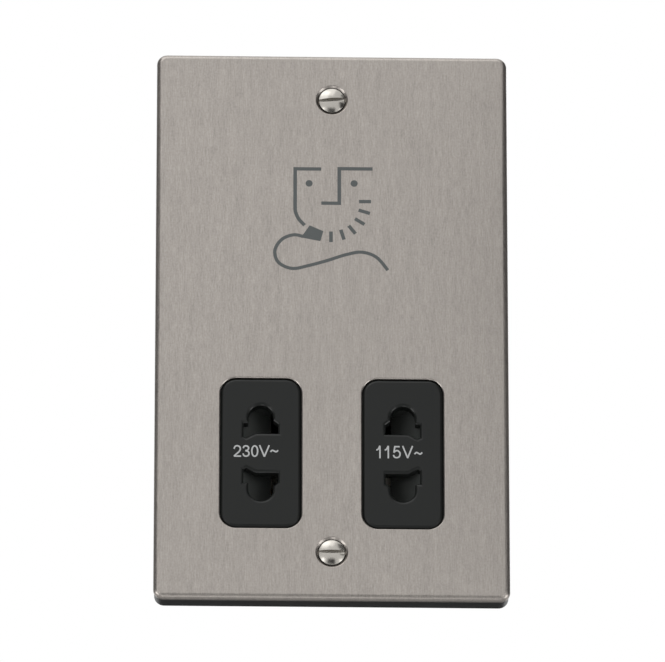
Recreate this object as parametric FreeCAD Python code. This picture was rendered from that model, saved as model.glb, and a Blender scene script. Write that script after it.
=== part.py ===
"""Dual-voltage shaver socket for a two-gang wall box, in millimetres.

+X is to the right seen from the front, +Y goes into the wall and +Z is up.
The wall plane is y = 0, and x = z = 0 is half way between the two fixing screws.
"""
import FreeCAD
import Part
import math
import os

V = FreeCAD.Vector
ALONG_Y = V(0, 1, 0)

# Overlap of two shapes that are joined into one, and how far a cutting shape runs past what it cuts
BITE = 0.5
PAST = 1.0

# Largest share of the room that a rounded corner or edge may take
CORNER_SHARE = 0.95
EDGE_SHARE = 0.9

# Facets of hidden posts, holes, leads and bends, and of the deep screw wells and the large screws' heads
SIDES = 8
WELL_SIDES = 16
LEAD_SIDES = 6
BEND_STEPS = 3

# Cover plate: a pressed steel pan
PLATE_WIDTH = 87.0
PLATE_END = 12.2
PROJECTION = 6.5
SHEET = 1.0
RIM_DEPTH = 1.9
PLATE_CORNER = 2.5
PLATE_EDGE = 1.4
WINDOW_EDGE = 0.25

# Outlets: one window in the plate for each voltage
OUTLET_WIDTH = 19.7
OUTLET_HEIGHT = 39.2
OUTLET_CORNER = 3.85
OUTLET_EDGE = 0.5
OUTLET_SPACING = 34.8
OUTLET_ABOVE_SCREW = 2.4
OUTLET_RECESS = 0.1
WINDOW_CLEARANCE = 0.15

# Pin apertures, measured from the centre of their outlet
DOME_RADIUS = 3.05
DOME_TOP = 12.6
WING_HALF = 4.25
APERTURE_INNER = 5.2
SLANT_START = 1.3
SLANT_END = 3.6
SLANT_DROP = 1.25
WING_TOP_SLANTED = 7.9
WING_TOP_PLAIN = 7.7
WING_SHOULDER = 1.0
WING_TOE = 0.35
APERTURE_LIP = 0.45

# Front moulding
SKIRT_INSET = 0.25
PAN_CLEARANCE = 0.1
BASE_THICKNESS = 2.0
FRAME_WALL = 3.0
RIB = 1.2
RIB_BACK = -0.4
RIB_HEIGHTS = (-8.0, 16.0, 40.0)
RIB_OFFSET = 13.0
TONGUE_EDGE = 0.5

# Fixing screws: M3.5, raised countersunk, slotted, with a rolled thread behind a plain shank
FIXING_CENTRES = 120.6
SCREW_RADIUS = 1.75
SHANK_RADIUS = 1.55
SCREW_LENGTH = 25.0
THREAD_START = 0.0
HEAD_RADIUS = 3.35
HEAD_CROWN = 0.95
DOME_RINGS = ((0.72, 0.5), (0.3, 1.0))
SLOT_WIDTH = 0.95
SLOT_DEPTH = 1.2
DIMPLE_RADIUS = 4.0
SEAT = 0.02
HOLE_CLEARANCE = 0.25
BOSS_WALL = 2.95

# Interlock shutter and its springs
TRAVEL = 7.0
SHUTTER_THICKNESS = 1.4
SHUTTER_HALF_HEIGHT = 15.0
SHUTTER_GAP = 0.1
SHUTTER_SIDE_GAP = 0.15
SHUTTER_MARGIN = 0.7
GATE_CLEARANCE = 0.05
GATE_SIDE_GAP = 0.3
RAMP_TOE = 0.8
RAMP_TOP = 1.2
RAMP_ROOT = 1.2
WEB_BITE = 0.2
GUSSET = 0.9
BRIDGE_HALF = 3.5
CAM_HALF = 12.0
CAM_TOP = 17.0
CAM_BACK = 3.0
NOTCH_HALF = 4.0
NOTCH_DEPTH = 2.2
SPRING_WIRE = 0.3
SPRING_RADIUS = 1.1
SPRING_TURNS = 7
SPRING_STEPS = 8
SPRING_GAP = 0.1
SPRING_LUG = 1.4
SPRING_LUG_HALF = 2.6
SPIGOT_LENGTH = 1.5
SPIGOT_RADIUS = 0.8
RAIL = 1.55
RAIL_LIP = 0.7
LIP_THICKNESS = 1.0
RAIL_END_GAP = 2.2
CAM_SIDE_GAP = 0.6

# Contact block and contacts
BLOCK_GAP = 0.6
BLOCK_DEPTH = 12.0
BLOCK_WALL = 1.6
CHAMBER_INNER = 3.8
CHAMBER_OUTER = 13.6
CHAMBER_CLEARANCE = 0.15
BLOCK_EDGE = 1.0
MIDDLE_HALF = 9.0
MIDDLE_WEB = 0.8
TAIL_CLEARANCE = 0.1
EAR_RADIUS = 3.6
EAR_POST_RADIUS = 3.0
EAR_THICKNESS = 3.0
EAR_WALL_GAP = 5.2
EAR_RISE = 4.1
EAR_ROOT = 3.0
LEAF_MARGIN = 1.1
LEAF_SETBACK = 1.0
LEAF_FOLD = 4.4
LEAF_PINCH = 1.6
LEAF_FLARE = 3.8
PINCH_DEPTH = 2.8
FLARE_DEPTH = 0.3
STRIP = 0.6
STRIP_WIDTH = 6.0
TAIL_WIDTH = 4.0
TAIL_OFFSET = 7.0
TAIL_REACH = 3.6
BUS_GAP = 0.4
BUS_END = 1.0

# Transformer
CORE_WIDTH = 45.0
CORE_STACK = 22.0
CORE_RISE = 12.8
CORE_TOP_GAP = 2.7
CORE_HOLE_RADIUS = 1.8
COIL_OVERHANG = 7.2
COIL_GAP = 3.8
COIL_EDGE = 0.8
FLANGE_EDGE = 1.5
FLANGE_RISE = 0.4
WINDING_GAP = 0.05
WINDING_DEPTH = 0.6
FORMER_CLEARANCE = 0.2
FORMER_WALL = 1.0
WINDING_CORNER = 2.5
CUTOUT_SIZE = (8.0, 2.5, 11.0)
CUTOUT_EDGE = 0.6

# Screws of the inner pieces
BOLT_RADIUS = 1.5
BOLT_HEAD = 2.7
BOLT_HEAD_HEIGHT = 2.0
SMALL_SLOT = 0.7
POST_RADIUS = 3.5
PILOT_DEPTH = 8.0
PILOT_SPARE = 1.0

# Rear housing
HOUSING_HALF_WIDTH = 32.0
HOUSING_CLEARANCE = 1.2
HOUSING_WALL = 1.8
HOUSING_CORNER = 3.0
STEP_DROP = 3.5
HOUSING_MARGIN = 1.5
HOUSING_EDGE = 1.2
COLUMN_RADIUS = 3.8
COLUMN_WELL = 3.0
COLUMN_BITE = 0.4
COLUMN_WEB = 2.5
COLUMN_START = 3.0
COLUMN_LOW_RISE = 6.5
COLUMN_TOP_GAP = 1.0
VENT_LENGTH = 16.0
VENT_WIDTH = 2.0
VENT_PITCH = 5.0
VENT_COUNT = 5
HOOK_X = 20.0
HOOK_WIDTH = 4.0
HOOK_REACH = 1.4
HOOK_DEPTH = (1.0, 2.6)
CATCH_DEPTH = (0.8, 2.8)
CATCH_GAP = 0.2
CATCH_WALL = 1.2
CATCH_THICKNESS = 2.4
CATCH_END = 4.5

# Terminals
TERMINAL_SPACING = 20.0
TERMINAL_WIDTH = 8.2
TERMINAL_DEPTH = 6.5
TERMINAL_LENGTH = 9.2
TERMINAL_BORE = 1.7
TERMINAL_SCREW = 1.7
TERMINAL_HEAD = 2.6
TERMINAL_HEAD_HEIGHT = 1.5
TERMINAL_FLOOR = 0.8
TERMINAL_EDGE = 0.4
CLAMP_GAP = 0.3
SHANK_GAP = 0.2
POCKET_CLEARANCE = 0.25
POCKET_WALL = 1.3
POCKET_RISE = 0.85
WIRING_GAP = 4.5
ENTRY_RADIUS = 2.4
LEAD_EXIT_DROP = 2.4

# Leads and switch
LEAD_RADIUS = 0.8
LEAD_CLEARANCE = 0.3
BLADE = 0.4
BLADE_WIDTH = 3.8
BLADE_RISE = 5.3
BLADE_DIP = 3.2
BLADE_TIP_RISE = 1.0
BLADE_ROOT = (-20.2, -16.6)
BLADE_TIP = 9.0
CONTACT_ROOT = (12.5, 16.0)
CONTACT_TIP = 7.0
FOLLOWER_HALF = 3.0
FOLLOWER_GAP = 0.5
SWITCH_DEPTH = 2.4
SWITCH_BUTTON = 1.2
BUTTON_DEPTH = 0.7
POST_DROP = 3.4

# Leads: how deep they run, and how far each turn lies below the core or above the blade
TAKE_OFF_EDGE = 3.0
TAKE_OFF_NEAR = 2.3
TAKE_OFF_RETURN = 1.5
TAKE_OFF_DEPTH = 1.4
LEAD_DEPTH = 2.4
LEAD_WALL_GAP = 4.2
LEAD_TURN_DROP = 1.7
LEAD_TOP_DROP = 0.7
CROSSING_DROP = 2.0
CROSSING_FRONT = 10.0
CROSSING_BACK = 12.5
CROSSING_NEAR = -6.0
CROSSING_FAR = 20.0
DROP_230 = (2.0, 4.5)
DROP_115 = (2.5, 5.5)
DROP_COMMON = (4.0, 7.5)
DROP_LIVE = 3.0
LIVE_X = -24.5
LIVE_RISE = 5.2
SWITCH_RISE = 5.6
CUTOUT_SIDE = 6.4
CUTOUT_CROSSING = 5.0
CUTOUT_CROSSING_RISE = 0.6

# Earth strip
EARTH_GAP = 0.3
EARTH_RISE = 1.5
EARTH_TURN = 0.9

# Planes worked out from the sizes above
FRONT = -PROJECTION
PLATE_BACK = FRONT + SHEET
RIM_END = FRONT + RIM_DEPTH
BASE_BACK = PLATE_BACK + BASE_THICKNESS
SHUTTER_FRONT = BASE_BACK + SHUTTER_GAP
SHUTTER_BACK = SHUTTER_FRONT + SHUTTER_THICKNESS
RAMP_DEEP = SHUTTER_FRONT + TRAVEL
BLOCK_FRONT = RAMP_DEEP + RAMP_TOE + BLOCK_GAP
BLOCK_BACK = BLOCK_FRONT + BLOCK_DEPTH
CHAMBER_BACK = BLOCK_BACK - BLOCK_WALL
EAR_BACK = BLOCK_FRONT + EAR_THICKNESS
COLUMN_SEAT = COLUMN_START + COLUMN_WEB
POCKET_FLOOR = BLOCK_BACK + WIRING_GAP
TERMINAL_FRONT = POCKET_FLOOR + POCKET_WALL
TERMINAL_BACK = TERMINAL_FRONT + TERMINAL_DEPTH
TERMINAL_AXIS = TERMINAL_FRONT + TERMINAL_FLOOR + TERMINAL_BORE
LOWER_BACK = TERMINAL_BACK + TERMINAL_HEAD_HEIGHT + 2 * CLAMP_GAP
WINDING_FRONT = BASE_BACK + COIL_GAP
CORE_FRONT = WINDING_FRONT + COIL_OVERHANG
CORE_BACK = CORE_FRONT + CORE_STACK
WINDING_BACK = CORE_BACK + COIL_OVERHANG
UPPER_BACK = WINDING_BACK + HOUSING_MARGIN + HOUSING_WALL

# Distances worked out from the sizes above
FIXING_Z = FIXING_CENTRES / 2
PLATE_HEIGHT = FIXING_CENTRES + 2 * PLATE_END
OUTLET_Z = -FIXING_Z + DIMPLE_RADIUS + OUTLET_ABOVE_SCREW + OUTLET_HEIGHT / 2
OUTLET_X = OUTLET_SPACING / 2
APERTURE_HALF = WING_HALF + GATE_CLEARANCE
RAMP_START = OUTLET_X + APERTURE_HALF
RAMP_STOP = RAMP_START - TRAVEL
GATE_STOP = RAMP_STOP - 2 * APERTURE_HALF
SHUTTER_HALF_LENGTH = RAMP_START + TRAVEL + SHUTTER_MARGIN
GATE_OUTER = CHAMBER_OUTER - GATE_SIDE_GAP
RAIL_INNER = SHUTTER_HALF_HEIGHT + SHUTTER_SIDE_GAP
RAIL_OUTER = RAIL_INNER + RAIL
SKIRT_HALF_WIDTH = PLATE_WIDTH / 2 - SKIRT_INSET
SKIRT_HALF_HEIGHT = PLATE_HEIGHT / 2 - SKIRT_INSET
FRAME_INNER = SKIRT_HALF_WIDTH - FRAME_WALL
CHAMBER_HALF = WING_HALF + CHAMBER_CLEARANCE
BLOCK_HALF_WIDTH = OUTLET_X + CHAMBER_HALF + BLOCK_WALL
EAR_Z = OUTLET_Z + RAIL_OUTER + EAR_RISE
SPRING_Y = SHUTTER_FRONT + SPRING_RADIUS + SPRING_WIRE / 2 + SPRING_GAP
LUG_BACK = SPRING_Y + SPRING_RADIUS + SPRING_WIRE / 2 + SPRING_GAP
HOUSING_INNER_X = HOUSING_HALF_WIDTH - HOUSING_WALL
EAR_X = HOUSING_INNER_X - EAR_WALL_GAP
HOUSING_INNER_Z = -OUTLET_Z + RAIL_OUTER + HOUSING_CLEARANCE
HOUSING_HALF_HEIGHT = HOUSING_INNER_Z + HOUSING_WALL
COLUMN_X = HOUSING_INNER_X - COLUMN_WELL + COLUMN_BITE
COLUMN_HIGH_Z = HOUSING_INNER_Z - COLUMN_WELL - COLUMN_TOP_GAP
CAM_LEVEL = OUTLET_Z + CAM_TOP
CORE_LOW = CAM_LEVEL + CORE_RISE
CORE_LENGTH = HOUSING_INNER_Z - CORE_TOP_GAP - CORE_LOW
CORE_Z = CORE_LOW + CORE_LENGTH / 2
LEG = CORE_LENGTH / 6
HOUSING_STEP_Z = CORE_LOW - STEP_DROP
COLUMN_LOW_Z = CORE_LOW + COLUMN_LOW_RISE
BOLT_X = CORE_WIDTH / 2 - LEG / 2
BOLT_RISE = CORE_LENGTH / 2 - LEG / 2
COIL_LENGTH = CORE_WIDTH - 2 * LEG
TERMINAL_LOW = -HOUSING_INNER_Z + POCKET_RISE + POCKET_CLEARANCE
TERMINAL_Z = TERMINAL_LOW + TERMINAL_LENGTH / 2
LEAD_EXIT_Z = TERMINAL_LOW + TERMINAL_LENGTH - LEAD_EXIT_DROP
BLADE_LEVEL = CAM_LEVEL + BLADE_RISE
SWITCH_MID = SHUTTER_BACK + SWITCH_DEPTH
EARTH_LEVEL = -HOUSING_INNER_Z + EARTH_GAP + STRIP / 2
EARTH_LOW = -FIXING_Z + DIMPLE_RADIUS + EARTH_RISE


def box(x0, x1, y0, y1, z0, z1):
    """Block between two corners."""
    return Part.makeBox(x1 - x0, y1 - y0, z1 - z0, V(x0, y0, z0))


def rod(radius, start, end):
    """Cylinder from one point to another."""
    return Part.makeCylinder(radius, (end - start).Length, start, end - start)


def rod_y(radius, y0, y1, x=0.0, z=0.0):
    """Cylinder along Y."""
    return rod(radius, V(x, y0, z), V(x, y1, z))


def ring_y(radius, y, x, z, sides=SIDES):
    """Corners of a regular outline at one depth, with a flat on each side."""
    angles = [math.tau * (i + 0.5) / sides for i in range(sides)]
    return [V(x + radius * math.cos(a), y, z + radius * math.sin(a)) for a in angles]


def post_y(radius, y0, y1, x=0.0, z=0.0):
    """Many-sided post along Y, with its corners at the radius."""
    return prism(ring_y(radius, y0, x, z), V(0, y1 - y0, 0))


def hole_y(radius, y0, y1, x=0.0, z=0.0, sides=SIDES):
    """Many-sided hole along Y, with its flats at the radius."""
    return prism(ring_y(radius / math.cos(math.pi / sides), y0, x, z, sides), V(0, y1 - y0, 0))


def loft_y(levels, sides, x=0.0, z=0.0):
    """Many-sided solid along Y through (radius, y) rings, with its corners at the radii."""
    rings = [ring_y(radius, y, x, z, sides) for radius, y in levels]
    outlines = [rings[0], rings[-1]]
    for near, far in zip(rings, rings[1:]):
        outlines += [[near[i - 1], near[i], far[i], far[i - 1]] for i in range(sides)]
    faces = [Part.Face(Part.makePolygon(outline + outline[:1])) for outline in outlines]
    solid = Part.makeSolid(Part.makeShell(faces))
    return solid if solid.Volume > 0 else solid.reversed()


def taper_y(radius0, radius1, y0, y1, x=0.0, z=0.0):
    """Many-sided taper along Y, with its flats at the two radii."""
    reach = 1 / math.cos(math.pi / SIDES)
    return loft_y([(radius0 * reach, y0), (radius1 * reach, y1)], SIDES, x, z)


def slab(half_x, half_z, corner, y0, y1, x=0.0, z=0.0):
    """Block with rounded upright corners, centred on x and z, between two depths."""
    corner = min(corner, CORNER_SHARE * half_x, CORNER_SHARE * half_z)
    block = box(x - half_x, x + half_x, y0, y1, z - half_z, z + half_z)
    upright = [e for e in block.Edges if abs(e.tangentAt(e.FirstParameter).y) > 0.99]
    return block.makeFillet(corner, upright)


def edges_on_plane(shape, y):
    """Edges of a shape that lie at one depth."""
    return [e for e in shape.Edges if abs(e.BoundBox.YMin - y) < 1e-4 and abs(e.BoundBox.YMax - y) < 1e-4]


def turned(profile, x=0.0, z=0.0):
    """Solid of revolution about a line along Y, from (radius, y) points."""
    points = [V(x + r, y, z) for r, y in profile]
    face = Part.Face(Part.makePolygon(points + points[:1]))
    return face.revolve(V(x, 0, z), ALONG_Y, 360)


def prism(points, direction):
    """Solid made by pushing a closed outline along a direction."""
    return Part.Face(Part.makePolygon(points + points[:1])).extrude(direction)


def offset_outline(path, half):
    """Outline of a strip that follows a path of (a, b) points, with mitred bends."""
    sides = ([], [])
    for i, (a, b) in enumerate(path):
        before = path[max(i - 1, 0)]
        after = path[min(i + 1, len(path) - 1)]
        first = (a - before[0], b - before[1]) if i else (after[0] - a, after[1] - b)
        second = (after[0] - a, after[1] - b) if i < len(path) - 1 else first
        n1 = (-first[1] / math.hypot(*first), first[0] / math.hypot(*first))
        n2 = (-second[1] / math.hypot(*second), second[0] / math.hypot(*second))
        scale = half * 2 / ((n1[0] + n2[0]) ** 2 + (n1[1] + n2[1]) ** 2)
        shift = ((n1[0] + n2[0]) * scale, (n1[1] + n2[1]) * scale)
        sides[0].append((a + shift[0], b + shift[1]))
        sides[1].append((a - shift[0], b - shift[1]))
    return sides[0] + sides[1][::-1]


def strip_yz(path, thickness, x0, x1):
    """Folded strip whose path lies in the YZ plane."""
    outline = offset_outline(path, thickness / 2)
    return prism([V(x0, a, b) for a, b in outline], V(x1 - x0, 0, 0))


def strip_xz(path, thickness, y0, y1):
    """Folded strip whose path lies in the XZ plane."""
    outline = offset_outline(path, thickness / 2)
    return prism([V(a, y0, b) for a, b in outline], V(0, y1 - y0, 0))


def fuse(shapes):
    """One solid from shapes that touch or overlap."""
    return shapes[0].multiFuse(shapes[1:]).removeSplitter()


def cut(shape, tools):
    """A shape with several others taken away."""
    return shape.cut(Part.makeCompound(tools))


def route(points):
    """Corners of a path whose bends are arcs as large as the runs allow, each cut into short chords."""
    corners = [points[0]]
    for i in range(1, len(points) - 1):
        here = points[i]
        to_last = points[i - 1] - here
        to_next = points[i + 1] - here
        turn = math.pi - to_last.getAngle(to_next)
        reach = 0.45 * min(to_last.Length, to_next.Length)
        radius = reach / math.tan(turn / 2)
        a = here + to_last.normalize() * reach
        b = here + to_next.normalize() * reach
        inward = ((a + b) * 0.5 - here).normalize()
        arc = Part.Arc(a, here + inward * (radius / math.cos(turn / 2) - radius), b)
        corners += [arc.value(arc.FirstParameter + (arc.LastParameter - arc.FirstParameter) * k / BEND_STEPS)
                    for k in range(BEND_STEPS + 1)]
    return corners + [points[-1]]


def tube(corners, radius, sides):
    """Many-sided tube along straight chords, mitred at each corner."""
    path = Part.makePolygon(corners)
    ahead = (corners[1] - corners[0]).normalize()
    across = ahead.cross(V(1, 0.3, 0.2)).normalize()
    up = ahead.cross(across)
    ring = [corners[0] + across * (radius * math.cos(math.tau * i / sides))
            + up * (radius * math.sin(math.tau * i / sides)) for i in range(sides)]
    maker = Part.BRepOffsetAPI.MakePipeShell(path)
    maker.setTransitionMode(1)
    maker.add(Part.makePolygon(ring + ring[:1]))
    maker.build()
    maker.makeSolid()
    return maker.shape()


def lead(points, radius=LEAD_RADIUS):
    """Insulated lead along a route."""
    corners = route([V(*p) for p in points])
    solid = tube(corners, radius, LEAD_SIDES)
    length = sum((b - a).Length for a, b in zip(corners, corners[1:]))
    section = LEAD_SIDES / 2 * radius ** 2 * math.sin(math.tau / LEAD_SIDES)
    ratio = solid.Volume / (section * length)
    print("lead length %.1f, volume against section times length %.4f" % (length, ratio))
    return solid


def group(shapes):
    """Separate solids that share one node."""
    return Part.makeCompound(shapes)


def outlet_columns():
    """Centre of each outlet, with the side on which its blade slots close."""
    return [(-OUTLET_X, -1), (OUTLET_X, 1)]


def aperture(x, slant, up, y0, y1):
    """Pin aperture: a round-pin slot joined to flat and slanted blade slots.

    slant is the side on which the slanted blades run in, and up is 1 above the centre and -1 below.
    """
    def place(u, w):
        return V(x + slant * u, y0, OUTLET_Z + up * w)
    inner = (SLANT_START, APERTURE_INNER)
    low = APERTURE_INNER - SLANT_DROP
    centre = DOME_TOP - DOME_RADIUS
    shoulder = WING_TOP_PLAIN + WING_SHOULDER
    corners = [(-DOME_RADIUS, centre), (-DOME_RADIUS, shoulder), (-WING_HALF, WING_TOP_PLAIN),
               (-WING_HALF, APERTURE_INNER), inner, (SLANT_END, low), (WING_HALF, low + WING_TOE),
               (WING_HALF, WING_TOP_SLANTED), (DOME_RADIUS, WING_TOP_SLANTED), (DOME_RADIUS, centre)]
    edges = [Part.LineSegment(place(*a), place(*b)).toShape() for a, b in zip(corners, corners[1:])]
    dome = Part.Arc(place(DOME_RADIUS, centre), place(0, DOME_TOP), place(-DOME_RADIUS, centre))
    edges.append(dome.toShape())
    return Part.Face(Part.Wire(edges)).extrude(V(0, y1 - y0, 0))


def cover_plate():
    """Pressed steel pan with two windows and two dimples for the screw heads."""
    edge = min(PLATE_EDGE, EDGE_SHARE * RIM_DEPTH, EDGE_SHARE * PLATE_CORNER)
    outer = slab(PLATE_WIDTH / 2, PLATE_HEIGHT / 2, PLATE_CORNER, FRONT, RIM_END)
    outer = outer.makeFillet(edge, edges_on_plane(outer, FRONT))
    inner = slab(PLATE_WIDTH / 2 - SHEET, PLATE_HEIGHT / 2 - SHEET, PLATE_CORNER - SHEET,
                 PLATE_BACK, RIM_END + PAST)
    if edge > SHEET + 0.05:
        inner = inner.makeChamfer(edge - SHEET, edges_on_plane(inner, PLATE_BACK))
    windows = []
    for x, _ in outlet_columns():
        hole = slab(OUTLET_WIDTH / 2 + WINDOW_CLEARANCE, OUTLET_HEIGHT / 2 + WINDOW_CLEARANCE,
                    OUTLET_CORNER + WINDOW_CLEARANCE, FRONT - PAST, PLATE_BACK + PAST, x, OUTLET_Z)
        windows.append(hole)
    plate = cut(outer, [inner] + windows)
    rims = [e for e in edges_on_plane(plate, FRONT) if e.BoundBox.ZMax < OUTLET_Z + OUTLET_HEIGHT
            and abs(e.BoundBox.Center.x) < PLATE_WIDTH / 2 - 4 and e.BoundBox.ZMin > -PLATE_HEIGHT / 2 + 4]
    plate = plate.makeChamfer(WINDOW_EDGE, rims)
    thick = SHEET * math.sqrt(2)
    foot = DIMPLE_RADIUS / 2
    floor = FRONT + DIMPLE_RADIUS - foot
    for z in (-FIXING_Z, FIXING_Z):
        cup = taper_y(DIMPLE_RADIUS + thick, foot + thick / 2, FRONT, floor + thick / 2, 0, z)
        pit = turned([(0, FRONT), (DIMPLE_RADIUS, FRONT), (foot, floor), (0, floor)], 0, z)
        hole = hole_y(foot, floor - BITE, floor + thick, 0, z)
        plate = cut(plate.fuse(cup), [pit, hole])
    return plate.removeSplitter()


def fixing_screw(z):
    """Raised countersunk screw with its slot level."""
    rim = FRONT + DIMPLE_RADIUS - HEAD_RADIUS
    neck = rim + HEAD_RADIUS - SHANK_RADIUS
    tip = rim + SCREW_LENGTH
    radius = HEAD_RADIUS - SEAT
    levels = [(SHANK_RADIUS, THREAD_START + BITE), (SHANK_RADIUS, neck - SEAT), (radius, rim)]
    levels += [(radius * reach, rim - HEAD_CROWN * rise) for reach, rise in DOME_RINGS]
    head = loft_y(levels, WELL_SIDES, 0, z)
    thread = rod_y(SCREW_RADIUS, THREAD_START, tip, 0, z)
    slot = box(-HEAD_RADIUS, HEAD_RADIUS, rim - HEAD_CROWN - PAST, rim - HEAD_CROWN + SLOT_DEPTH,
               z - SLOT_WIDTH / 2, z + SLOT_WIDTH / 2)
    return fuse([head, thread]).cut(slot)


def housing_screw_places():
    """Centres of the four screws that hold the rear housing."""
    return [(side * COLUMN_X, z) for side in (-1, 1) for z in (COLUMN_LOW_Z, COLUMN_HIGH_Z)]


def core_bolt_places():
    """Centres of the four bolts through the transformer's core."""
    return [(side * BOLT_X, CORE_Z + rise) for side in (-1, 1) for rise in (-BOLT_RISE, BOLT_RISE)]


def ear_places():
    """Centres of the two screws that hold the contact block."""
    return [(-EAR_X, EAR_Z), (EAR_X, EAR_Z)]


def outlet_moulding():
    """Front moulding: skirt, outlet faces with their apertures, rails, posts and snap lugs."""
    tongue = slab(PLATE_WIDTH / 2 - SHEET - PAN_CLEARANCE, PLATE_HEIGHT / 2 - SHEET - PAN_CLEARANCE,
                  PLATE_CORNER - SHEET - PAN_CLEARANCE, PLATE_BACK, RIM_END + BITE)
    tongue = tongue.makeChamfer(TONGUE_EDGE, edges_on_plane(tongue, PLATE_BACK))
    skirt = slab(SKIRT_HALF_WIDTH, SKIRT_HALF_HEIGHT, PLATE_CORNER, RIM_END, 0)
    hollow = slab(FRAME_INNER, SKIRT_HALF_HEIGHT - FRAME_WALL, PLATE_CORNER, BASE_BACK, PAST)
    body = fuse([skirt, tongue]).cut(hollow)
    parts = [body]
    face_y = FRONT + OUTLET_RECESS
    for x, _ in outlet_columns():
        island = slab(OUTLET_WIDTH / 2, OUTLET_HEIGHT / 2, OUTLET_CORNER,
                      face_y, PLATE_BACK + BITE, x, OUTLET_Z)
        parts.append(island.makeChamfer(OUTLET_EDGE, edges_on_plane(island, face_y)))
    wall = slab(HOUSING_HALF_WIDTH, HOUSING_HALF_HEIGHT, HOUSING_CORNER, BASE_BACK, 0)
    wall = wall.cut(slab(HOUSING_INNER_X, HOUSING_INNER_Z, HOUSING_CORNER - HOUSING_WALL,
                         BASE_BACK - PAST, PAST))
    gate = SHUTTER_HALF_HEIGHT + SHUTTER_SIDE_GAP
    parts.append(wall.cut(box(-FRAME_INNER, FRAME_INNER, BASE_BACK, PAST, OUTLET_Z - gate, OUTLET_Z + gate)))
    for z in (-FIXING_Z, FIXING_Z):
        parts.append(post_y(SCREW_RADIUS + HOLE_CLEARANCE + BOSS_WALL, BASE_BACK, 0, 0, z))
    room = slab(HOUSING_INNER_X - PAN_CLEARANCE, HOUSING_INNER_Z - PAN_CLEARANCE,
                HOUSING_CORNER - HOUSING_WALL, BASE_BACK, COLUMN_START)
    for x, z in housing_screw_places():
        parts.append(post_y(COLUMN_RADIUS, BASE_BACK, COLUMN_START, x, z).common(room))
    for x, z in core_bolt_places():
        parts.append(post_y(POST_RADIUS, BASE_BACK, CORE_FRONT, x, z))
    for x, z in ear_places():
        parts.append(post_y(EAR_POST_RADIUS, BASE_BACK, BLOCK_FRONT, x, z))
    parts += rails() + switch_posts() + outer_ribs() + snap_lugs()
    for side in (-1, 1):
        wall_x = side * FRAME_INNER
        parts.append(spigot(wall_x + side * BITE, wall_x - side * SPIGOT_LENGTH))
    tools = []
    for x, slant in outlet_columns():
        for up in (-1, 1):
            tools.append(aperture(x, slant, up, face_y - PAST, BASE_BACK + PAST))
    for z in (-FIXING_Z, FIXING_Z):
        hole = SCREW_RADIUS + HOLE_CLEARANCE
        wide = DIMPLE_RADIUS + SHEET * math.sqrt(2) + PAN_CLEARANCE
        tools.append(hole_y(hole, FRONT, PAST, 0, z))
        tools.append(taper_y(wide + PAST, hole, FRONT - PAST, FRONT + wide - hole, 0, z))
    pilot = BOLT_RADIUS + SEAT
    for x, z in housing_screw_places():
        tools.append(hole_y(pilot, COLUMN_SEAT - PILOT_DEPTH, COLUMN_START + PAST, x, z))
    for x, z in core_bolt_places():
        tools.append(hole_y(pilot, CORE_FRONT - PILOT_DEPTH, CORE_FRONT + PAST, x, z))
    for x, z in ear_places():
        tools.append(hole_y(pilot, EAR_BACK - PILOT_DEPTH, BLOCK_FRONT + PAST, x, z))
    half = STRIP_WIDTH / 2 + TAIL_CLEARANCE
    over = STRIP / 2 + TAIL_CLEARANCE
    tools.append(box(-half, half, FRONT, BASE_BACK + PAST, EARTH_LEVEL - over, EARTH_LEVEL + over))
    tools.append(box(-half, half, FRONT, PLATE_BACK + STRIP, EARTH_LOW - TAIL_CLEARANCE, EARTH_LEVEL))
    moulding = cut(fuse(parts), tools)
    mouths = [e for e in edges_on_plane(moulding, face_y)
              if abs(abs(e.BoundBox.Center.x) - OUTLET_X) < WING_HALF + 0.1
              and abs(e.BoundBox.Center.z - OUTLET_Z) < DOME_TOP + 0.1]
    return moulding.makeChamfer(APERTURE_LIP, mouths)


def spigot(x0, x1):
    """Short pin that centres a shutter spring."""
    return tube([V(x0, SPRING_Y, OUTLET_Z), V(x1, SPRING_Y, OUTLET_Z)], SPIGOT_RADIUS, SIDES)


def rails():
    """Rails that guide the shutter, with lips that keep it against the base."""
    parts = []
    clear = CAM_HALF + TRAVEL + CAM_SIDE_GAP
    far = FRAME_INNER - RAIL_END_GAP
    lip_front = SHUTTER_BACK + SHUTTER_GAP
    lip_back = lip_front + LIP_THICKNESS
    for up in (-1, 1):
        near = clear if up > 0 else 0
        z0, z1 = sorted((OUTLET_Z + up * RAIL_INNER, OUTLET_Z + up * RAIL_OUTER))
        lip0, lip1 = sorted((OUTLET_Z + up * RAIL_INNER, OUTLET_Z + up * (RAIL_INNER - RAIL_LIP)))
        for side in (-1, 1):
            tall = sorted((side * near, side * BLOCK_HALF_WIDTH))
            long = sorted((side * near, side * far))
            lip = sorted((side * clear, side * far))
            parts.append(box(tall[0], tall[1], BASE_BACK, BLOCK_FRONT, z0, z1))
            parts.append(box(long[0], long[1], BASE_BACK, lip_back, z0, z1))
            parts.append(box(lip[0], lip[1], lip_front, lip_back, lip0, lip1))
    return parts


def switch_posts():
    """Two posts that carry the switch blade and its contact."""
    low = BLADE_LEVEL - POST_DROP
    back = SWITCH_MID + BLADE_WIDTH / 2
    high = BLADE_LEVEL - BLADE / 2
    return [box(x0, x1, BASE_BACK, back, low, high) for x0, x1 in (BLADE_ROOT, CONTACT_ROOT)]


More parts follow.
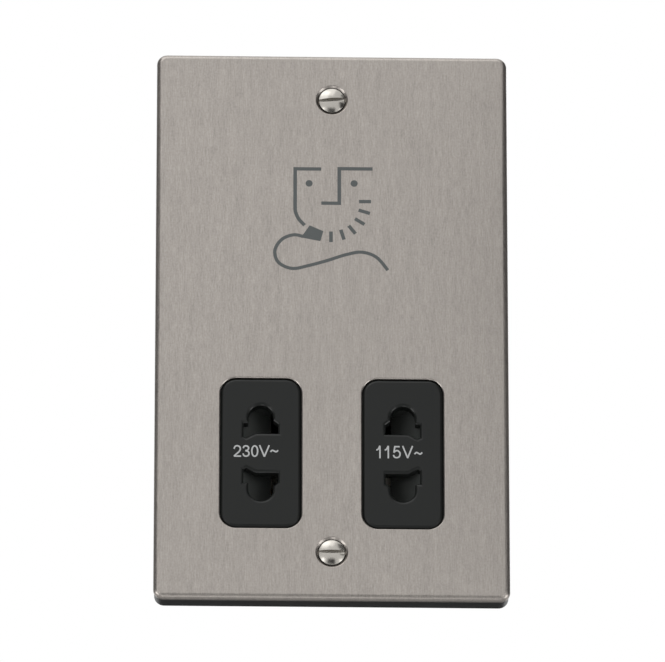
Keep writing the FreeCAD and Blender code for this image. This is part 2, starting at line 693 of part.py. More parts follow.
def outer_ribs():
    """Ribs between the housing's locating wall and the skirt."""
    parts = []
    for z in RIB_HEIGHTS:
        for side in (-1, 1):
            x0, x1 = sorted((side * (HOUSING_HALF_WIDTH - BITE), side * (FRAME_INNER + BITE)))
            parts.append(box(x0, x1, BASE_BACK, RIB_BACK, z - RIB / 2, z + RIB / 2))
    for up in (-1, 1):
        for side in (-1, 1):
            z0, z1 = sorted((up * (HOUSING_HALF_HEIGHT - BITE), up * (SKIRT_HALF_HEIGHT - FRAME_WALL + BITE)))
            x = side * RIB_OFFSET
            parts.append(box(x - RIB / 2, x + RIB / 2, BASE_BACK, RIB_BACK, z0, z1))
    return parts


def snap_lugs():
    """Two lugs with windows that catch the hooks at the housing's lower edge."""
    parts = []
    z1 = -HOUSING_HALF_HEIGHT - CATCH_GAP
    z0 = z1 - CATCH_THICKNESS
    slot = HOOK_WIDTH / 2 + CATCH_GAP
    half = HOOK_WIDTH / 2 + CATCH_WALL
    for side in (-1, 1):
        x = side * HOOK_X
        lug = box(x - half, x + half, BASE_BACK, CATCH_END, z0, z1)
        parts.append(lug.cut(box(x - slot, x + slot, *CATCH_DEPTH, z0 - PAST, z1 + PAST)))
    return parts


def shutter():
    """Interlock slide: two gates with ramps, a cam for the switch and two spring lugs."""
    plate = box(-SHUTTER_HALF_LENGTH, SHUTTER_HALF_LENGTH, SHUTTER_FRONT, SHUTTER_BACK,
                OUTLET_Z - SHUTTER_HALF_HEIGHT, OUTLET_Z + SHUTTER_HALF_HEIGHT)
    gates = []
    ramps = []
    toe = RAMP_DEEP + RAMP_TOE
    back = RAMP_STOP + RAMP_TOP
    root = RAMP_START + RAMP_ROOT
    for side in (-1, 1):
        x0, x1 = sorted((side * RAMP_START, side * GATE_STOP))
        for up in (-1, 1):
            z0, z1 = sorted((OUTLET_Z + up * BRIDGE_HALF, OUTLET_Z + up * GATE_OUTER))
            gates.append(box(x0, x1, SHUTTER_FRONT - PAST, SHUTTER_BACK + PAST, z0, z1))
            profile = [(RAMP_START, SHUTTER_FRONT), (RAMP_STOP, RAMP_DEEP), (RAMP_STOP, toe), (back, toe),
                       (back + toe - SHUTTER_BACK, SHUTTER_BACK), (root, SHUTTER_BACK), (root, SHUTTER_FRONT)]
            ramps.append(prism([V(side * a, b, z0) for a, b in profile], V(0, 0, z1 - z0)))
            web_front = SHUTTER_BACK - WEB_BITE
            web = [(RAMP_START, web_front), (RAMP_STOP, web_front), (RAMP_STOP, toe), (back, toe),
                   (root, web_front)]
            for edge in (BRIDGE_HALF - GUSSET, GATE_OUTER):
                a, b = sorted((OUTLET_Z + up * edge, OUTLET_Z + up * (edge + GUSSET)))
                ramps.append(prism([V(side * p, q, a) for p, q in web], V(0, 0, b - a)))
    cam = box(-CAM_HALF, CAM_HALF, SHUTTER_FRONT, SHUTTER_BACK + CAM_BACK, OUTLET_Z + GATE_OUTER, CAM_LEVEL)
    vee = [(-NOTCH_HALF, CAM_LEVEL), (0, CAM_LEVEL - NOTCH_DEPTH), (NOTCH_HALF, CAM_LEVEL)]
    deep = SHUTTER_THICKNESS + CAM_BACK + 2 * PAST
    notch = prism([V(a, SHUTTER_FRONT - PAST, b) for a, b in vee], V(0, deep, 0))
    parts = [cut(plate, gates), cam] + ramps
    for side in (-1, 1):
        x0, x1 = sorted((side * (SHUTTER_HALF_LENGTH - SPRING_LUG), side * SHUTTER_HALF_LENGTH))
        low = OUTLET_Z - SPRING_LUG_HALF
        high = OUTLET_Z + SPRING_LUG_HALF
        parts.append(box(x0, x1, SHUTTER_FRONT, LUG_BACK, low, high))
        end = SHUTTER_HALF_LENGTH + SPIGOT_LENGTH
        parts.append(spigot(side * (SHUTTER_HALF_LENGTH - BITE), side * end))
    return fuse(parts).cut(notch)


def shutter_spring(side):
    """Compression spring between the shutter's lug and the skirt."""
    start = SHUTTER_HALF_LENGTH + SPRING_WIRE / 2 + SPRING_GAP
    length = FRAME_INNER - SHUTTER_HALF_LENGTH - SPRING_WIRE - 2 * SPRING_GAP
    steps = SPRING_TURNS * SPRING_STEPS
    corners = []
    for i in range(steps + 1):
        angle = math.tau * i / SPRING_STEPS
        corners.append(V(side * (start + length * i / steps), SPRING_Y + SPRING_RADIUS * math.cos(angle),
                         OUTLET_Z + side * SPRING_RADIUS * math.sin(angle)))
    return tube(corners, SPRING_WIRE / 2, 4)


def contact_block():
    """Insulating block with a chamber for each contact and two screw ears."""
    x1 = BLOCK_HALF_WIDTH
    block = box(-x1, x1, BLOCK_FRONT, BLOCK_BACK, OUTLET_Z - RAIL_OUTER, OUTLET_Z + RAIL_OUTER)
    upright = [e for e in block.Edges if abs(e.tangentAt(e.FirstParameter).y) > 0.99]
    block = block.makeChamfer(BLOCK_EDGE, upright)
    parts = [block]
    for x, z in ear_places():
        side = math.copysign(1, x)
        inner, outer = sorted((side * (x1 - EAR_ROOT), x + side * (EAR_RADIUS - BLOCK_EDGE / 2)))
        parts.append(post_y(EAR_RADIUS, BLOCK_FRONT, EAR_BACK, x, z))
        parts.append(box(inner, outer, BLOCK_FRONT, EAR_BACK, z - EAR_RISE - EAR_ROOT, z))
    tools = []
    slot = TAIL_WIDTH / 2 + TAIL_CLEARANCE
    over = STRIP / 2 + TAIL_CLEARANCE
    for x, _ in outlet_columns():
        for up in (-1, 1):
            z0, z1 = sorted((OUTLET_Z + up * CHAMBER_INNER, OUTLET_Z + up * CHAMBER_OUTER))
            tools.append(box(x - CHAMBER_HALF, x + CHAMBER_HALF, BLOCK_FRONT - PAST, CHAMBER_BACK, z0, z1))
            tail = OUTLET_Z + up * TAIL_OFFSET
            tools.append(box(x - slot, x + slot, BLOCK_FRONT, BLOCK_BACK + PAST, tail - over, tail + over))
    for x, z in ear_places():
        tools.append(hole_y(BOLT_RADIUS + HOLE_CLEARANCE, BLOCK_FRONT - PAST, EAR_BACK + PAST, x, z))
    for x0, x1 in ((-MIDDLE_HALF, -MIDDLE_WEB), (MIDDLE_WEB, MIDDLE_HALF)):
        tools.append(box(x0, x1, BLOCK_FRONT - PAST, CHAMBER_BACK - BLOCK_WALL,
                         OUTLET_Z - CHAMBER_OUTER, OUTLET_Z + CHAMBER_OUTER))
    return cut(fuse(parts), tools)


def pin_contact(x, up):
    """One folded contact: a straight leaf, a sprung leaf and a tail through the block."""
    back = CHAMBER_BACK - STRIP / 2 - SEAT
    front = BLOCK_FRONT + LEAF_SETBACK
    inner = CHAMBER_INNER + LEAF_MARGIN
    path = [(front, inner), (back, inner), (back, inner + LEAF_FOLD),
            (front + PINCH_DEPTH, inner + LEAF_PINCH), (front + FLARE_DEPTH, inner + LEAF_FLARE)]
    leaf = strip_yz([(y, OUTLET_Z + up * w) for y, w in path], STRIP,
                    x - STRIP_WIDTH / 2, x + STRIP_WIDTH / 2)
    tail = OUTLET_Z + up * TAIL_OFFSET
    tab = box(x - TAIL_WIDTH / 2, x + TAIL_WIDTH / 2, back, BLOCK_BACK + TAIL_REACH,
              tail - STRIP / 2, tail + STRIP / 2)
    return fuse([leaf, tab])


def contact_common():
    """Lower contacts of both outlets on one bus strip."""
    tail = OUTLET_Z - TAIL_OFFSET
    reach = OUTLET_X + TAIL_WIDTH / 2 + BUS_END
    bus = box(-reach, reach, BLOCK_BACK + BUS_GAP, BLOCK_BACK + TAIL_REACH,
              tail - STRIP / 2, tail + STRIP / 2)
    return fuse([bus, pin_contact(-OUTLET_X, -1), pin_contact(OUTLET_X, -1)])


def slotted_screw(radius, head, head_height, y_seat, y_tip, x, z):
    """Small cheese-head screw that faces the rear."""
    shank = post_y(radius, y_tip, y_seat + BITE, x, z)
    cap = post_y(head, y_seat, y_seat + head_height, x, z)
    slot = box(x - head - PAST, x + head + PAST, y_seat + head_height / 2, y_seat + head_height + PAST,
               z - SMALL_SLOT / 2, z + SMALL_SLOT / 2)
    return shank.fuse(cap).removeSplitter().cut(slot)


def transformer_core():
    """Welded stack of laminations with two windows and four corner holes."""
    half = CORE_LENGTH / 2
    core = box(-CORE_WIDTH / 2, CORE_WIDTH / 2, CORE_FRONT, CORE_BACK, CORE_Z - half, CORE_Z + half)
    tools = []
    for up in (-1, 1):
        z0, z1 = sorted((CORE_Z + up * LEG, CORE_Z + up * (half - LEG)))
        tools.append(box(-COIL_LENGTH / 2, COIL_LENGTH / 2, CORE_FRONT - PAST, CORE_BACK + PAST, z0, z1))
    for x, z in core_bolt_places():
        tools.append(hole_y(CORE_HOLE_RADIUS, CORE_FRONT - PAST, CORE_BACK + PAST, x, z))
    return cut(core, tools)


def coil_tube(half_z, y0, y1, corner, x0, x1):
    """Rounded block along X that is centred on the core."""
    block = box(x0, x1, y0, y1, CORE_Z - half_z, CORE_Z + half_z)
    long = [e for e in block.Edges if abs(e.tangentAt(e.FirstParameter).x) > 0.99]
    return block.makeChamfer(corner, long)


def coil_former():
    """Bobbin with a divider between the mains and the output windings."""
    gap = FORMER_CLEARANCE
    half = COIL_LENGTH / 2 - gap
    bore = box(-half - PAST, half + PAST, CORE_FRONT - gap, CORE_BACK + gap,
               CORE_Z - LEG - gap, CORE_Z + LEG + gap)
    wall = gap + FORMER_WALL
    parts = [coil_tube(LEG + wall, CORE_FRONT - wall, CORE_BACK + wall, COIL_EDGE, -half, half)]
    rim = CORE_LENGTH / 2 - LEG - gap
    for x0 in (-half, -FORMER_WALL / 2, half - FORMER_WALL):
        parts.append(coil_tube(rim, WINDING_FRONT - FLANGE_RISE, WINDING_BACK + FLANGE_RISE, FLANGE_EDGE,
                               x0, x0 + FORMER_WALL))
    return fuse(parts).cut(bore)


def winding(side):
    """Copper winding on one half of the bobbin."""
    gap = FORMER_CLEARANCE
    near = FORMER_WALL / 2 + WINDING_GAP
    far = COIL_LENGTH / 2 - gap - FORMER_WALL - WINDING_GAP
    x0, x1 = sorted((side * near, side * far))
    wall = gap + FORMER_WALL + WINDING_GAP
    outer = coil_tube(winding_half(), WINDING_FRONT, WINDING_BACK, WINDING_CORNER, x0, x1)
    return outer.cut(coil_tube(LEG + wall, CORE_FRONT - wall, CORE_BACK + wall, COIL_EDGE,
                               x0 - PAST, x1 + PAST))


def winding_half():
    """Half the height of a winding."""
    return CORE_LENGTH / 2 - LEG - FORMER_CLEARANCE - WINDING_DEPTH


def thermal_cutout():
    """Cut-out taped to the front of the mains winding."""
    width, depth, height = CUTOUT_SIZE
    x = -COIL_LENGTH / 4
    block = box(x - width / 2, x + width / 2, WINDING_FRONT - depth, WINDING_FRONT,
                CORE_Z - height / 2, CORE_Z + height / 2)
    long = [e for e in block.Edges if abs(e.tangentAt(e.FirstParameter).z) > 0.99
            and e.BoundBox.YMax < WINDING_FRONT - 1]
    return block.makeChamfer(CUTOUT_EDGE, long)


def terminal_places():
    """Centres of the three mains terminals: live, earth and neutral."""
    return [-TERMINAL_SPACING, 0.0, TERMINAL_SPACING]


def terminal(x):
    """Brass terminal with a wire bore from below and a screw hole from the rear."""
    half = TERMINAL_WIDTH / 2
    top = TERMINAL_LOW + TERMINAL_LENGTH
    block = box(x - half, x + half, TERMINAL_FRONT, TERMINAL_BACK, TERMINAL_LOW, top)
    upright = [e for e in block.Edges if abs(e.tangentAt(e.FirstParameter).z) > 0.99]
    block = block.makeChamfer(TERMINAL_EDGE, upright)
    bore = rod(TERMINAL_BORE, V(x, TERMINAL_AXIS, TERMINAL_LOW - PAST), V(x, TERMINAL_AXIS, top + PAST))
    hole = hole_y(TERMINAL_SCREW + SEAT, TERMINAL_AXIS, TERMINAL_BACK + PAST, x, TERMINAL_Z)
    return block.cut(bore).cut(hole)


def rear_housing():
    """Deep moulded back: a stepped shell with screw columns, terminal pockets, vents and hooks."""
    outer = slab(HOUSING_HALF_WIDTH, HOUSING_HALF_HEIGHT, HOUSING_CORNER, 0, LOWER_BACK)
    top_mid = (HOUSING_HALF_HEIGHT + HOUSING_STEP_Z) / 2
    top_half = (HOUSING_HALF_HEIGHT - HOUSING_STEP_Z) / 2
    deep = slab(HOUSING_HALF_WIDTH, top_half, HOUSING_CORNER, 0, UPPER_BACK, 0, top_mid)
    deep = deep.makeChamfer(HOUSING_EDGE, edges_on_plane(deep, UPPER_BACK))
    outer = outer.makeChamfer(HOUSING_EDGE, edges_on_plane(outer, LOWER_BACK))
    shell = fuse([outer, deep])
    corner = HOUSING_CORNER - HOUSING_WALL
    inside = slab(HOUSING_INNER_X, HOUSING_INNER_Z, corner, -PAST, LOWER_BACK - HOUSING_WALL)
    inside_deep = slab(HOUSING_INNER_X, top_half - HOUSING_WALL, corner,
                       -PAST, UPPER_BACK - HOUSING_WALL, 0, top_mid)
    shell = shell.cut(inside).cut(inside_deep)
    parts = [shell]
    room = slab(HOUSING_HALF_WIDTH - BITE, HOUSING_HALF_HEIGHT - BITE, HOUSING_CORNER - BITE, 0, UPPER_BACK)
    for x, z in housing_screw_places():
        column = post_y(COLUMN_RADIUS, COLUMN_START, UPPER_BACK - BITE, x, z)
        parts.append(column.common(room))
    pocket_low = TERMINAL_LOW - POCKET_CLEARANCE
    pocket_high = TERMINAL_LOW + TERMINAL_LENGTH + POCKET_CLEARANCE
    half = TERMINAL_WIDTH / 2 + POCKET_CLEARANCE
    for x in terminal_places():
        parts.append(box(x - half - POCKET_WALL, x + half + POCKET_WALL, POCKET_FLOOR, LOWER_BACK - BITE,
                         -HOUSING_INNER_Z - BITE, pocket_high + POCKET_WALL))
    foot = -HOUSING_HALF_HEIGHT
    near, deep_end = HOOK_DEPTH
    barb = [(near, foot + BITE), (near, foot), (deep_end, foot - HOOK_REACH), (deep_end, foot + BITE)]
    for side in (-1, 1):
        start = side * HOOK_X - HOOK_WIDTH / 2
        parts.append(prism([V(start, a, b) for a, b in barb], V(HOOK_WIDTH, 0, 0)))
    housing = fuse(parts)
    tools = []
    for x, z in housing_screw_places():
        tools.append(hole_y(COLUMN_WELL, COLUMN_SEAT, UPPER_BACK + PAST, x, z, WELL_SIDES))
        tools.append(hole_y(BOLT_RADIUS + HOLE_CLEARANCE, COLUMN_START - PAST, UPPER_BACK, x, z))
    for x in terminal_places():
        tools.append(box(x - half, x + half, TERMINAL_FRONT, LOWER_BACK + PAST, pocket_low, pocket_high))
        tools.append(tube([V(x, TERMINAL_AXIS, -HOUSING_HALF_HEIGHT - PAST),
                           V(x, TERMINAL_AXIS, pocket_low + PAST)], ENTRY_RADIUS, WELL_SIDES))
    radius = LEAD_RADIUS + LEAD_CLEARANCE
    for x in (-TERMINAL_SPACING, TERMINAL_SPACING):
        tools.append(hole_y(radius, POCKET_FLOOR - PAST, TERMINAL_FRONT + PAST, x, LEAD_EXIT_Z))
    slot = STRIP_WIDTH / 2 + TAIL_CLEARANCE
    over = STRIP / 2 + TAIL_CLEARANCE
    tools.append(box(-slot, slot, POCKET_FLOOR - PAST, TERMINAL_FRONT + PAST,
                     TERMINAL_Z - over, TERMINAL_Z + over))
    first = CORE_Z - VENT_PITCH * (VENT_COUNT - 1) / 2
    for i in range(VENT_COUNT):
        z = first + i * VENT_PITCH
        tools.append(box(-HOUSING_HALF_WIDTH - PAST, HOUSING_HALF_WIDTH + PAST,
                         (UPPER_BACK - VENT_LENGTH) / 2, (UPPER_BACK + VENT_LENGTH) / 2,
                         z - VENT_WIDTH / 2, z + VENT_WIDTH / 2))
    return cut(housing, tools)


def earth_strip():
    """Folded strip from the earth terminal to the back of the cover plate."""
    turn = POCKET_FLOOR - EARTH_TURN
    end = PLATE_BACK + STRIP / 2
    path = [(TERMINAL_FRONT, TERMINAL_Z), (turn, TERMINAL_Z), (turn, EARTH_LEVEL), (end, EARTH_LEVEL),
            (end, EARTH_LOW)]
    return strip_yz(path, STRIP, -STRIP_WIDTH / 2, STRIP_WIDTH / 2)


def switch_blade():
    """Leaf of the switch, with a follower that drops into the shutter's notch."""
    tip = CAM_LEVEL - NOTCH_DEPTH + FOLLOWER_GAP
    dip = BLADE_LEVEL - BLADE_DIP
    path = [(BLADE_ROOT[0], BLADE_LEVEL), (BLADE_ROOT[1], BLADE_LEVEL), (-FOLLOWER_HALF, dip), (0.0, tip),
            (FOLLOWER_HALF, dip), (BLADE_TIP, dip + BLADE_TIP_RISE)]
    return strip_xz(path, BLADE, SWITCH_MID - BLADE_WIDTH / 2, SWITCH_MID + BLADE_WIDTH / 2)


def switch_contact():
    """Fixed contact of the switch with its button."""
    arm = box(CONTACT_TIP, CONTACT_ROOT[1], SWITCH_MID - BLADE_WIDTH / 2, SWITCH_MID + BLADE_WIDTH / 2,
              BLADE_LEVEL - BLADE / 2, BLADE_LEVEL + BLADE / 2)
    middle = CONTACT_TIP + SWITCH_BUTTON
    button = box(middle - SWITCH_BUTTON, middle + SWITCH_BUTTON, SWITCH_MID - SWITCH_BUTTON,
                 SWITCH_MID + SWITCH_BUTTON, BLADE_LEVEL - BUTTON_DEPTH, BLADE_LEVEL)
    return fuse([arm, button])


def internal_leads():
    """Leads between terminals, switch, windings and contacts, as node name to solid."""
    low = CORE_Z - winding_half()
    start_y = WINDING_FRONT + WINDING_CORNER + TAKE_OFF_DEPTH
    drop = BLOCK_BACK + LEAD_DEPTH
    top = BLADE_LEVEL + BLADE / 2
    upper_tail = OUTLET_Z + TAIL_OFFSET + STRIP / 2
    lower_tail = OUTLET_Z - TAIL_OFFSET + STRIP / 2
    cutout_low = CORE_Z - CUTOUT_SIZE[2] / 2
    cutout_y = WINDING_FRONT - CUTOUT_SIZE[1] / 2
    wall = HOUSING_INNER_X - LEAD_WALL_GAP
    edge = COIL_LENGTH / 2 - TAKE_OFF_EDGE
    middle = (edge + TAKE_OFF_NEAR) / 2
    return_x = -edge + TAKE_OFF_RETURN
    crossing = BLADE_LEVEL - CROSSING_DROP
    turn_z = OUTLET_Z - LEAD_TURN_DROP
    root = sum(BLADE_ROOT) / 2
    fixed = sum(CONTACT_ROOT) / 2
    rise = (cutout_low - CORE_LOW) / 2
    routes = {
        "lead_output_115": [
            (edge, start_y, low), (edge, start_y, CORE_LOW - DROP_115[0]),
            (OUTLET_X, drop, CORE_LOW - DROP_115[1]), (OUTLET_X, drop, upper_tail)],
        "lead_output_common": [
            (middle, start_y, low), (middle, start_y, CORE_LOW - DROP_COMMON[0]),
            (0.0, drop, CORE_LOW - DROP_COMMON[1]), (0.0, drop, lower_tail)],
        "lead_output_230": [
            (TAKE_OFF_NEAR, start_y, low), (TAKE_OFF_NEAR, start_y, CORE_LOW - DROP_230[0]),
            (-OUTLET_X, drop, CORE_LOW - DROP_230[1]), (-OUTLET_X, drop, upper_tail)],
        "lead_neutral": [
            (TERMINAL_SPACING, TERMINAL_FRONT, LEAD_EXIT_Z), (TERMINAL_SPACING, drop, LEAD_EXIT_Z),
            (wall, drop, turn_z), (wall, drop - BLADE, CAM_LEVEL - LEAD_TOP_DROP),
            (CROSSING_FAR, CROSSING_BACK, crossing), (CROSSING_NEAR, CROSSING_FRONT, crossing),
            (return_x, start_y, CORE_LOW - DROP_115[0]), (return_x, start_y, low)],
        "lead_live": [
            (-TERMINAL_SPACING, TERMINAL_FRONT, LEAD_EXIT_Z), (-TERMINAL_SPACING, drop, LEAD_EXIT_Z),
            (-wall, drop, turn_z), (-wall, drop - BLADE, crossing),
            (LIVE_X, CROSSING_BACK, CORE_LOW - DROP_LIVE),
            (root, SWITCH_MID, top + LIVE_RISE), (root, SWITCH_MID, top)],
        "lead_switch": [
            (fixed, SWITCH_MID, top), (fixed, SWITCH_MID, top + SWITCH_RISE),
            (CUTOUT_CROSSING, cutout_y, CORE_LOW),
            (-CUTOUT_CROSSING, cutout_y, CORE_LOW + rise * CUTOUT_CROSSING_RISE),
            (-CUTOUT_SIDE, cutout_y, cutout_low - rise), (-CUTOUT_SIDE, cutout_y, cutout_low)],
    }
    return {name: lead(points) for name, points in routes.items()}


def screw_groups():
    """Groups of like screws, as node name to solids."""
    tip = CORE_FRONT - PILOT_DEPTH + PILOT_SPARE
    core = [slotted_screw(BOLT_RADIUS, BOLT_HEAD, BOLT_HEAD_HEIGHT, CORE_BACK, tip, x, z)
            for x, z in core_bolt_places()]
    tip = COLUMN_SEAT - PILOT_DEPTH + PILOT_SPARE
    housing = [slotted_screw(BOLT_RADIUS, BOLT_HEAD, BOLT_HEAD_HEIGHT, COLUMN_SEAT, tip, x, z)
               for x, z in housing_screw_places()]
    tip = EAR_BACK - PILOT_DEPTH + PILOT_SPARE
    block = [slotted_screw(BOLT_RADIUS, BOLT_HEAD, BOLT_HEAD_HEIGHT, EAR_BACK, tip, x, z)
             for x, z in ear_places()]
    tip = TERMINAL_AXIS + TERMINAL_BORE + SHANK_GAP
    seat = TERMINAL_BACK + CLAMP_GAP
    clamp = [slotted_screw(TERMINAL_SCREW, TERMINAL_HEAD, TERMINAL_HEAD_HEIGHT, seat, tip, x, TERMINAL_Z)
             for x in terminal_places()]
    return {"core_bolts": group(core), "housing_screws": group(housing),
            "contact_block_screws": group(block), "terminal_screws": group(clamp)}


def build():
    """All nodes of the socket, as name to shape."""
    live, earth, neutral = terminal_places()
    nodes = {
        "cover_plate": cover_plate(),
        "outlet_moulding": outlet_moulding(),
        "fixing_screw_top": fixing_screw(FIXING_Z),
        "fixing_screw_bottom": fixing_screw(-FIXING_Z),
        "rear_housing": rear_housing(),
        "shutter": shutter(),
        "shutter_spring_left": shutter_spring(-1),
        "shutter_spring_right": shutter_spring(1),
        "contact_block": contact_block(),
        "contact_common": contact_common(),
        "contact_230": pin_contact(-OUTLET_X, 1),
        "contact_115": pin_contact(OUTLET_X, 1),
        "transformer_core": transformer_core(),
        "coil_former": coil_former(),
        "mains_winding": winding(-1),
        "output_winding": winding(1),
        "thermal_cutout": thermal_cutout(),
        "terminal_live": terminal(live),
        "terminal_earth": terminal(earth),
        "terminal_neutral": terminal(neutral),
        "earth_strip": earth_strip(),
        "switch_blade": switch_blade(),
        "switch_contact": switch_contact(),
    }
    nodes.update(screw_groups())
    nodes.update(internal_leads())
    return nodes


os.makedirs("parts", exist_ok=True)
for name, shape in build().items():
    solids = shape.Solids
    valid = all(s.isValid() for s in solids)
    print("%-22s solids %d valid %s volume %.1f" % (name, len(solids), valid, shape.Volume))
    shape.exportStep("parts/%s.step" % name)
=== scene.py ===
import logging
import math
from dataclasses import dataclass
from enum import Enum
from functools import cache
from typing import Any, Callable

import bpy
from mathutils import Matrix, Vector
from mathutils.geometry import interpolate_bezier, intersect_line_line_2d


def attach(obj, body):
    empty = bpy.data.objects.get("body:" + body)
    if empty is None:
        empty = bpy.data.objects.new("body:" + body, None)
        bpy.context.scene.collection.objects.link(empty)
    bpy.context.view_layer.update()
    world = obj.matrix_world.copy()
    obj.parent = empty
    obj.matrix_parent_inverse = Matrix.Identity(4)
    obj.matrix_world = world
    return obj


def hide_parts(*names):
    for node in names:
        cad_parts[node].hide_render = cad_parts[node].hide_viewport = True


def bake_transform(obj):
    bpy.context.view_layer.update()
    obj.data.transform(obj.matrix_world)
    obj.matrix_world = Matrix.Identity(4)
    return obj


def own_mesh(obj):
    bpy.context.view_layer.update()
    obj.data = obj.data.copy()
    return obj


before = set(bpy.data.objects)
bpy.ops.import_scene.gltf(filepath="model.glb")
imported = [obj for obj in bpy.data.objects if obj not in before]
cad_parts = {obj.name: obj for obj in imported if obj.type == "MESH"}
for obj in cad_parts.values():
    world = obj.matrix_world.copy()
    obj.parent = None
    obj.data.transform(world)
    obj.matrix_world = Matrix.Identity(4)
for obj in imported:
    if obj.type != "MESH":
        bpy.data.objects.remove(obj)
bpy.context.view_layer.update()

LOG = logging.getLogger("shaver_socket")

Triple = tuple[float, float, float]
Colour = Triple
Point = tuple[float, float]
Outline = list[Point]

# Sizes and places of the pieces are in mm, and MM turns them into metres
MM = 0.001
FACE_Y = -6.5
OUTLET_FACE_Y = -6.4
OUTLET_Z = -34.3
FIXING_Z = 60.3
PRINT_DEPTH = 0.03

# Places nearer than NEAR count as the same, and points nearer than MERGE become one
NEAR = 0.001
MERGE = 0.002

# Faces that meet under this angle, in degrees, count as flat
FLAT_ANGLE = 0.3

# Points on each bend of a printed line
BEND_POINTS = 9

# Turn that stands a circle or a plane across the Y axis
ABOUT_Y = (math.pi / 2, 0.0, 0.0)


class Body(Enum):
    """Bodies of the frame that pieces ride on."""

    SOCKET = "socket"
    SHUTTER = "interlock_shutter"


class Side(Enum):
    """Left and right of the socket, seen from the front."""

    LEFT = -1
    RIGHT = 1


class Part(Enum):
    """Parts of a mesh that an edit selects."""

    POINTS = "VERT"
    EDGES = "EDGE"
    FACES = "FACE"


class Sleeve(Enum):
    """Sleeves of the leads, with their linear colours."""

    RED = (0.5, 0.025, 0.025)
    BLACK = (0.02, 0.02, 0.02)
    YELLOW = (0.76, 0.56, 0.04)
    BLUE = (0.035, 0.14, 0.5)
    BROWN = (0.2, 0.085, 0.04)


# Shader maths


class Signal:
    """A node's output that can stand in Python arithmetic."""

    def __init__(self, graph: "Graph", socket: bpy.types.NodeSocket) -> None:
        """Keep a graph and the output socket of one of its nodes."""
        self.graph = graph
        self.socket = socket

    def _math(self, operation: str, *terms: "Signal | float") -> "Signal":
        """Result of one Math node, with its terms in the node's order."""
        return self.graph.node("ShaderNodeMath", {"operation": operation}, dict(enumerate(terms)))

    def __add__(self, other: "Signal | float") -> "Signal":
        """Sum of two signals."""
        return self._math("ADD", self, other)

    def __radd__(self, other: float) -> "Signal":
        """Sum with a number on the left."""
        return self._math("ADD", other, self)

    def __sub__(self, other: "Signal | float") -> "Signal":
        """Difference of two signals."""
        return self._math("SUBTRACT", self, other)

    def __rsub__(self, other: float) -> "Signal":
        """Difference from a number."""
        return self._math("SUBTRACT", other, self)

    def __mul__(self, other: "Signal | float") -> "Signal":
        """Product of two signals."""
        return self._math("MULTIPLY", self, other)

    def __rmul__(self, other: float) -> "Signal":
        """Product with a number on the left."""
        return self._math("MULTIPLY", other, self)

    def fraction(self) -> "Signal":
        """What is left above the last whole number."""
        return self._math("FRACT", self)

    def size(self) -> "Signal":
        """Value without its sign."""
        return self._math("ABSOLUTE", self)

    def root(self) -> "Signal":
        """Square root."""
        return self._math("SQRT", self)

    def at_least(self, other: "Signal | float") -> "Signal":
        """The larger of two signals."""
        return self._math("MAXIMUM", self, other)

    def clamped(self) -> "Signal":
        """Value kept between 0 and 1."""
        return self._math("MINIMUM", self.at_least(0.0), 1.0)


class Graph:
    """Node tree of one finish or of the surroundings."""

    def __init__(self, tree: bpy.types.NodeTree) -> None:
        """Take the node tree of a material or a world, and empty it."""
        self.tree = tree
        self.tree.nodes.clear()

    def node(self, kind: str, settings: dict[str, Any] | None = None,
             sockets: dict[str | int, Any] | None = None, output: str | int = 0) -> Signal | None:
        """Add a node, with its settings made before its sockets.

        Args:
            kind: Node type.
            settings: Properties of the node.
            sockets: Values or signals for its inputs, by name or number.
            output: Output to hand back.

        Returns:
            The chosen output, or None for a node that has none.
        """
        made = self.tree.nodes.new(kind)
        for key, value in (settings or {}).items():
            setattr(made, key, value)
        for key, value in (sockets or {}).items():
            if isinstance(value, Signal):
                self.tree.links.new(value.socket, made.inputs[key])
            else:
                made.inputs[key].default_value = value
        return Signal(self, made.outputs[output]) if made.outputs else None

    def axis(self, name: str) -> Signal:
        """The object coordinate X, Y or Z, in metres."""
        here = self.node("ShaderNodeTexCoord", output="Object")
        return self.node("ShaderNodeSeparateXYZ", {}, {"Vector": here}, name)

    def noise(self, scale: Triple, detail: float = 2.0, rough: float = 0.5) -> Signal:
        """Noise on the object coordinates, centred on one half.

        Args:
            scale: Features per metre along X, Y and Z.
            detail: Layers of finer noise.
            rough: Strength of each finer layer.

        Returns:
            A number signal from 0 to 1.
        """
        here = self.node("ShaderNodeTexCoord", output="Object")
        place = self.node("ShaderNodeMapping", {"vector_type": "POINT"}, {"Vector": here, "Scale": scale})
        return self.node("ShaderNodeTexNoise", {"noise_dimensions": "3D"},
                         {"Vector": place, "Scale": 1.0, "Detail": detail, "Roughness": rough})

    def mix(self, factor: Signal, first: Any, second: Any) -> Signal:
        """Blend of two colours or colour signals, 0 for the first and 1 for the second."""
        colours = [c if isinstance(c, Signal) else (*c, 1.0) for c in (first, second)]
        return self.node("ShaderNodeMix", {"data_type": "RGBA"}, {0: factor, 6: colours[0], 7: colours[1]}, 2)

    def finish(self, colour: Signal, rough: Any, relief: tuple[Signal, float] | None = None,
               **inputs: Any) -> None:
        """Close the tree with one surface shader.

        Args:
            colour: Base colour.
            rough: Roughness.
            relief: Height from 0 to 1, and how many metres 1 stands for.
            inputs: Its other inputs, with an underscore for each space in their names.
        """
        sockets = {"Base Color": colour, "Roughness": rough}
        sockets.update((name.replace("_", " "), value) for name, value in inputs.items())
        if relief:
            sockets["Normal"] = self.node("ShaderNodeBump", {}, {"Height": relief[0], "Distance": relief[1]})
        shader = self.node("ShaderNodeBsdfPrincipled", {}, sockets)
        self.node("ShaderNodeOutputMaterial", {}, {"Surface": shader})


# Finishes


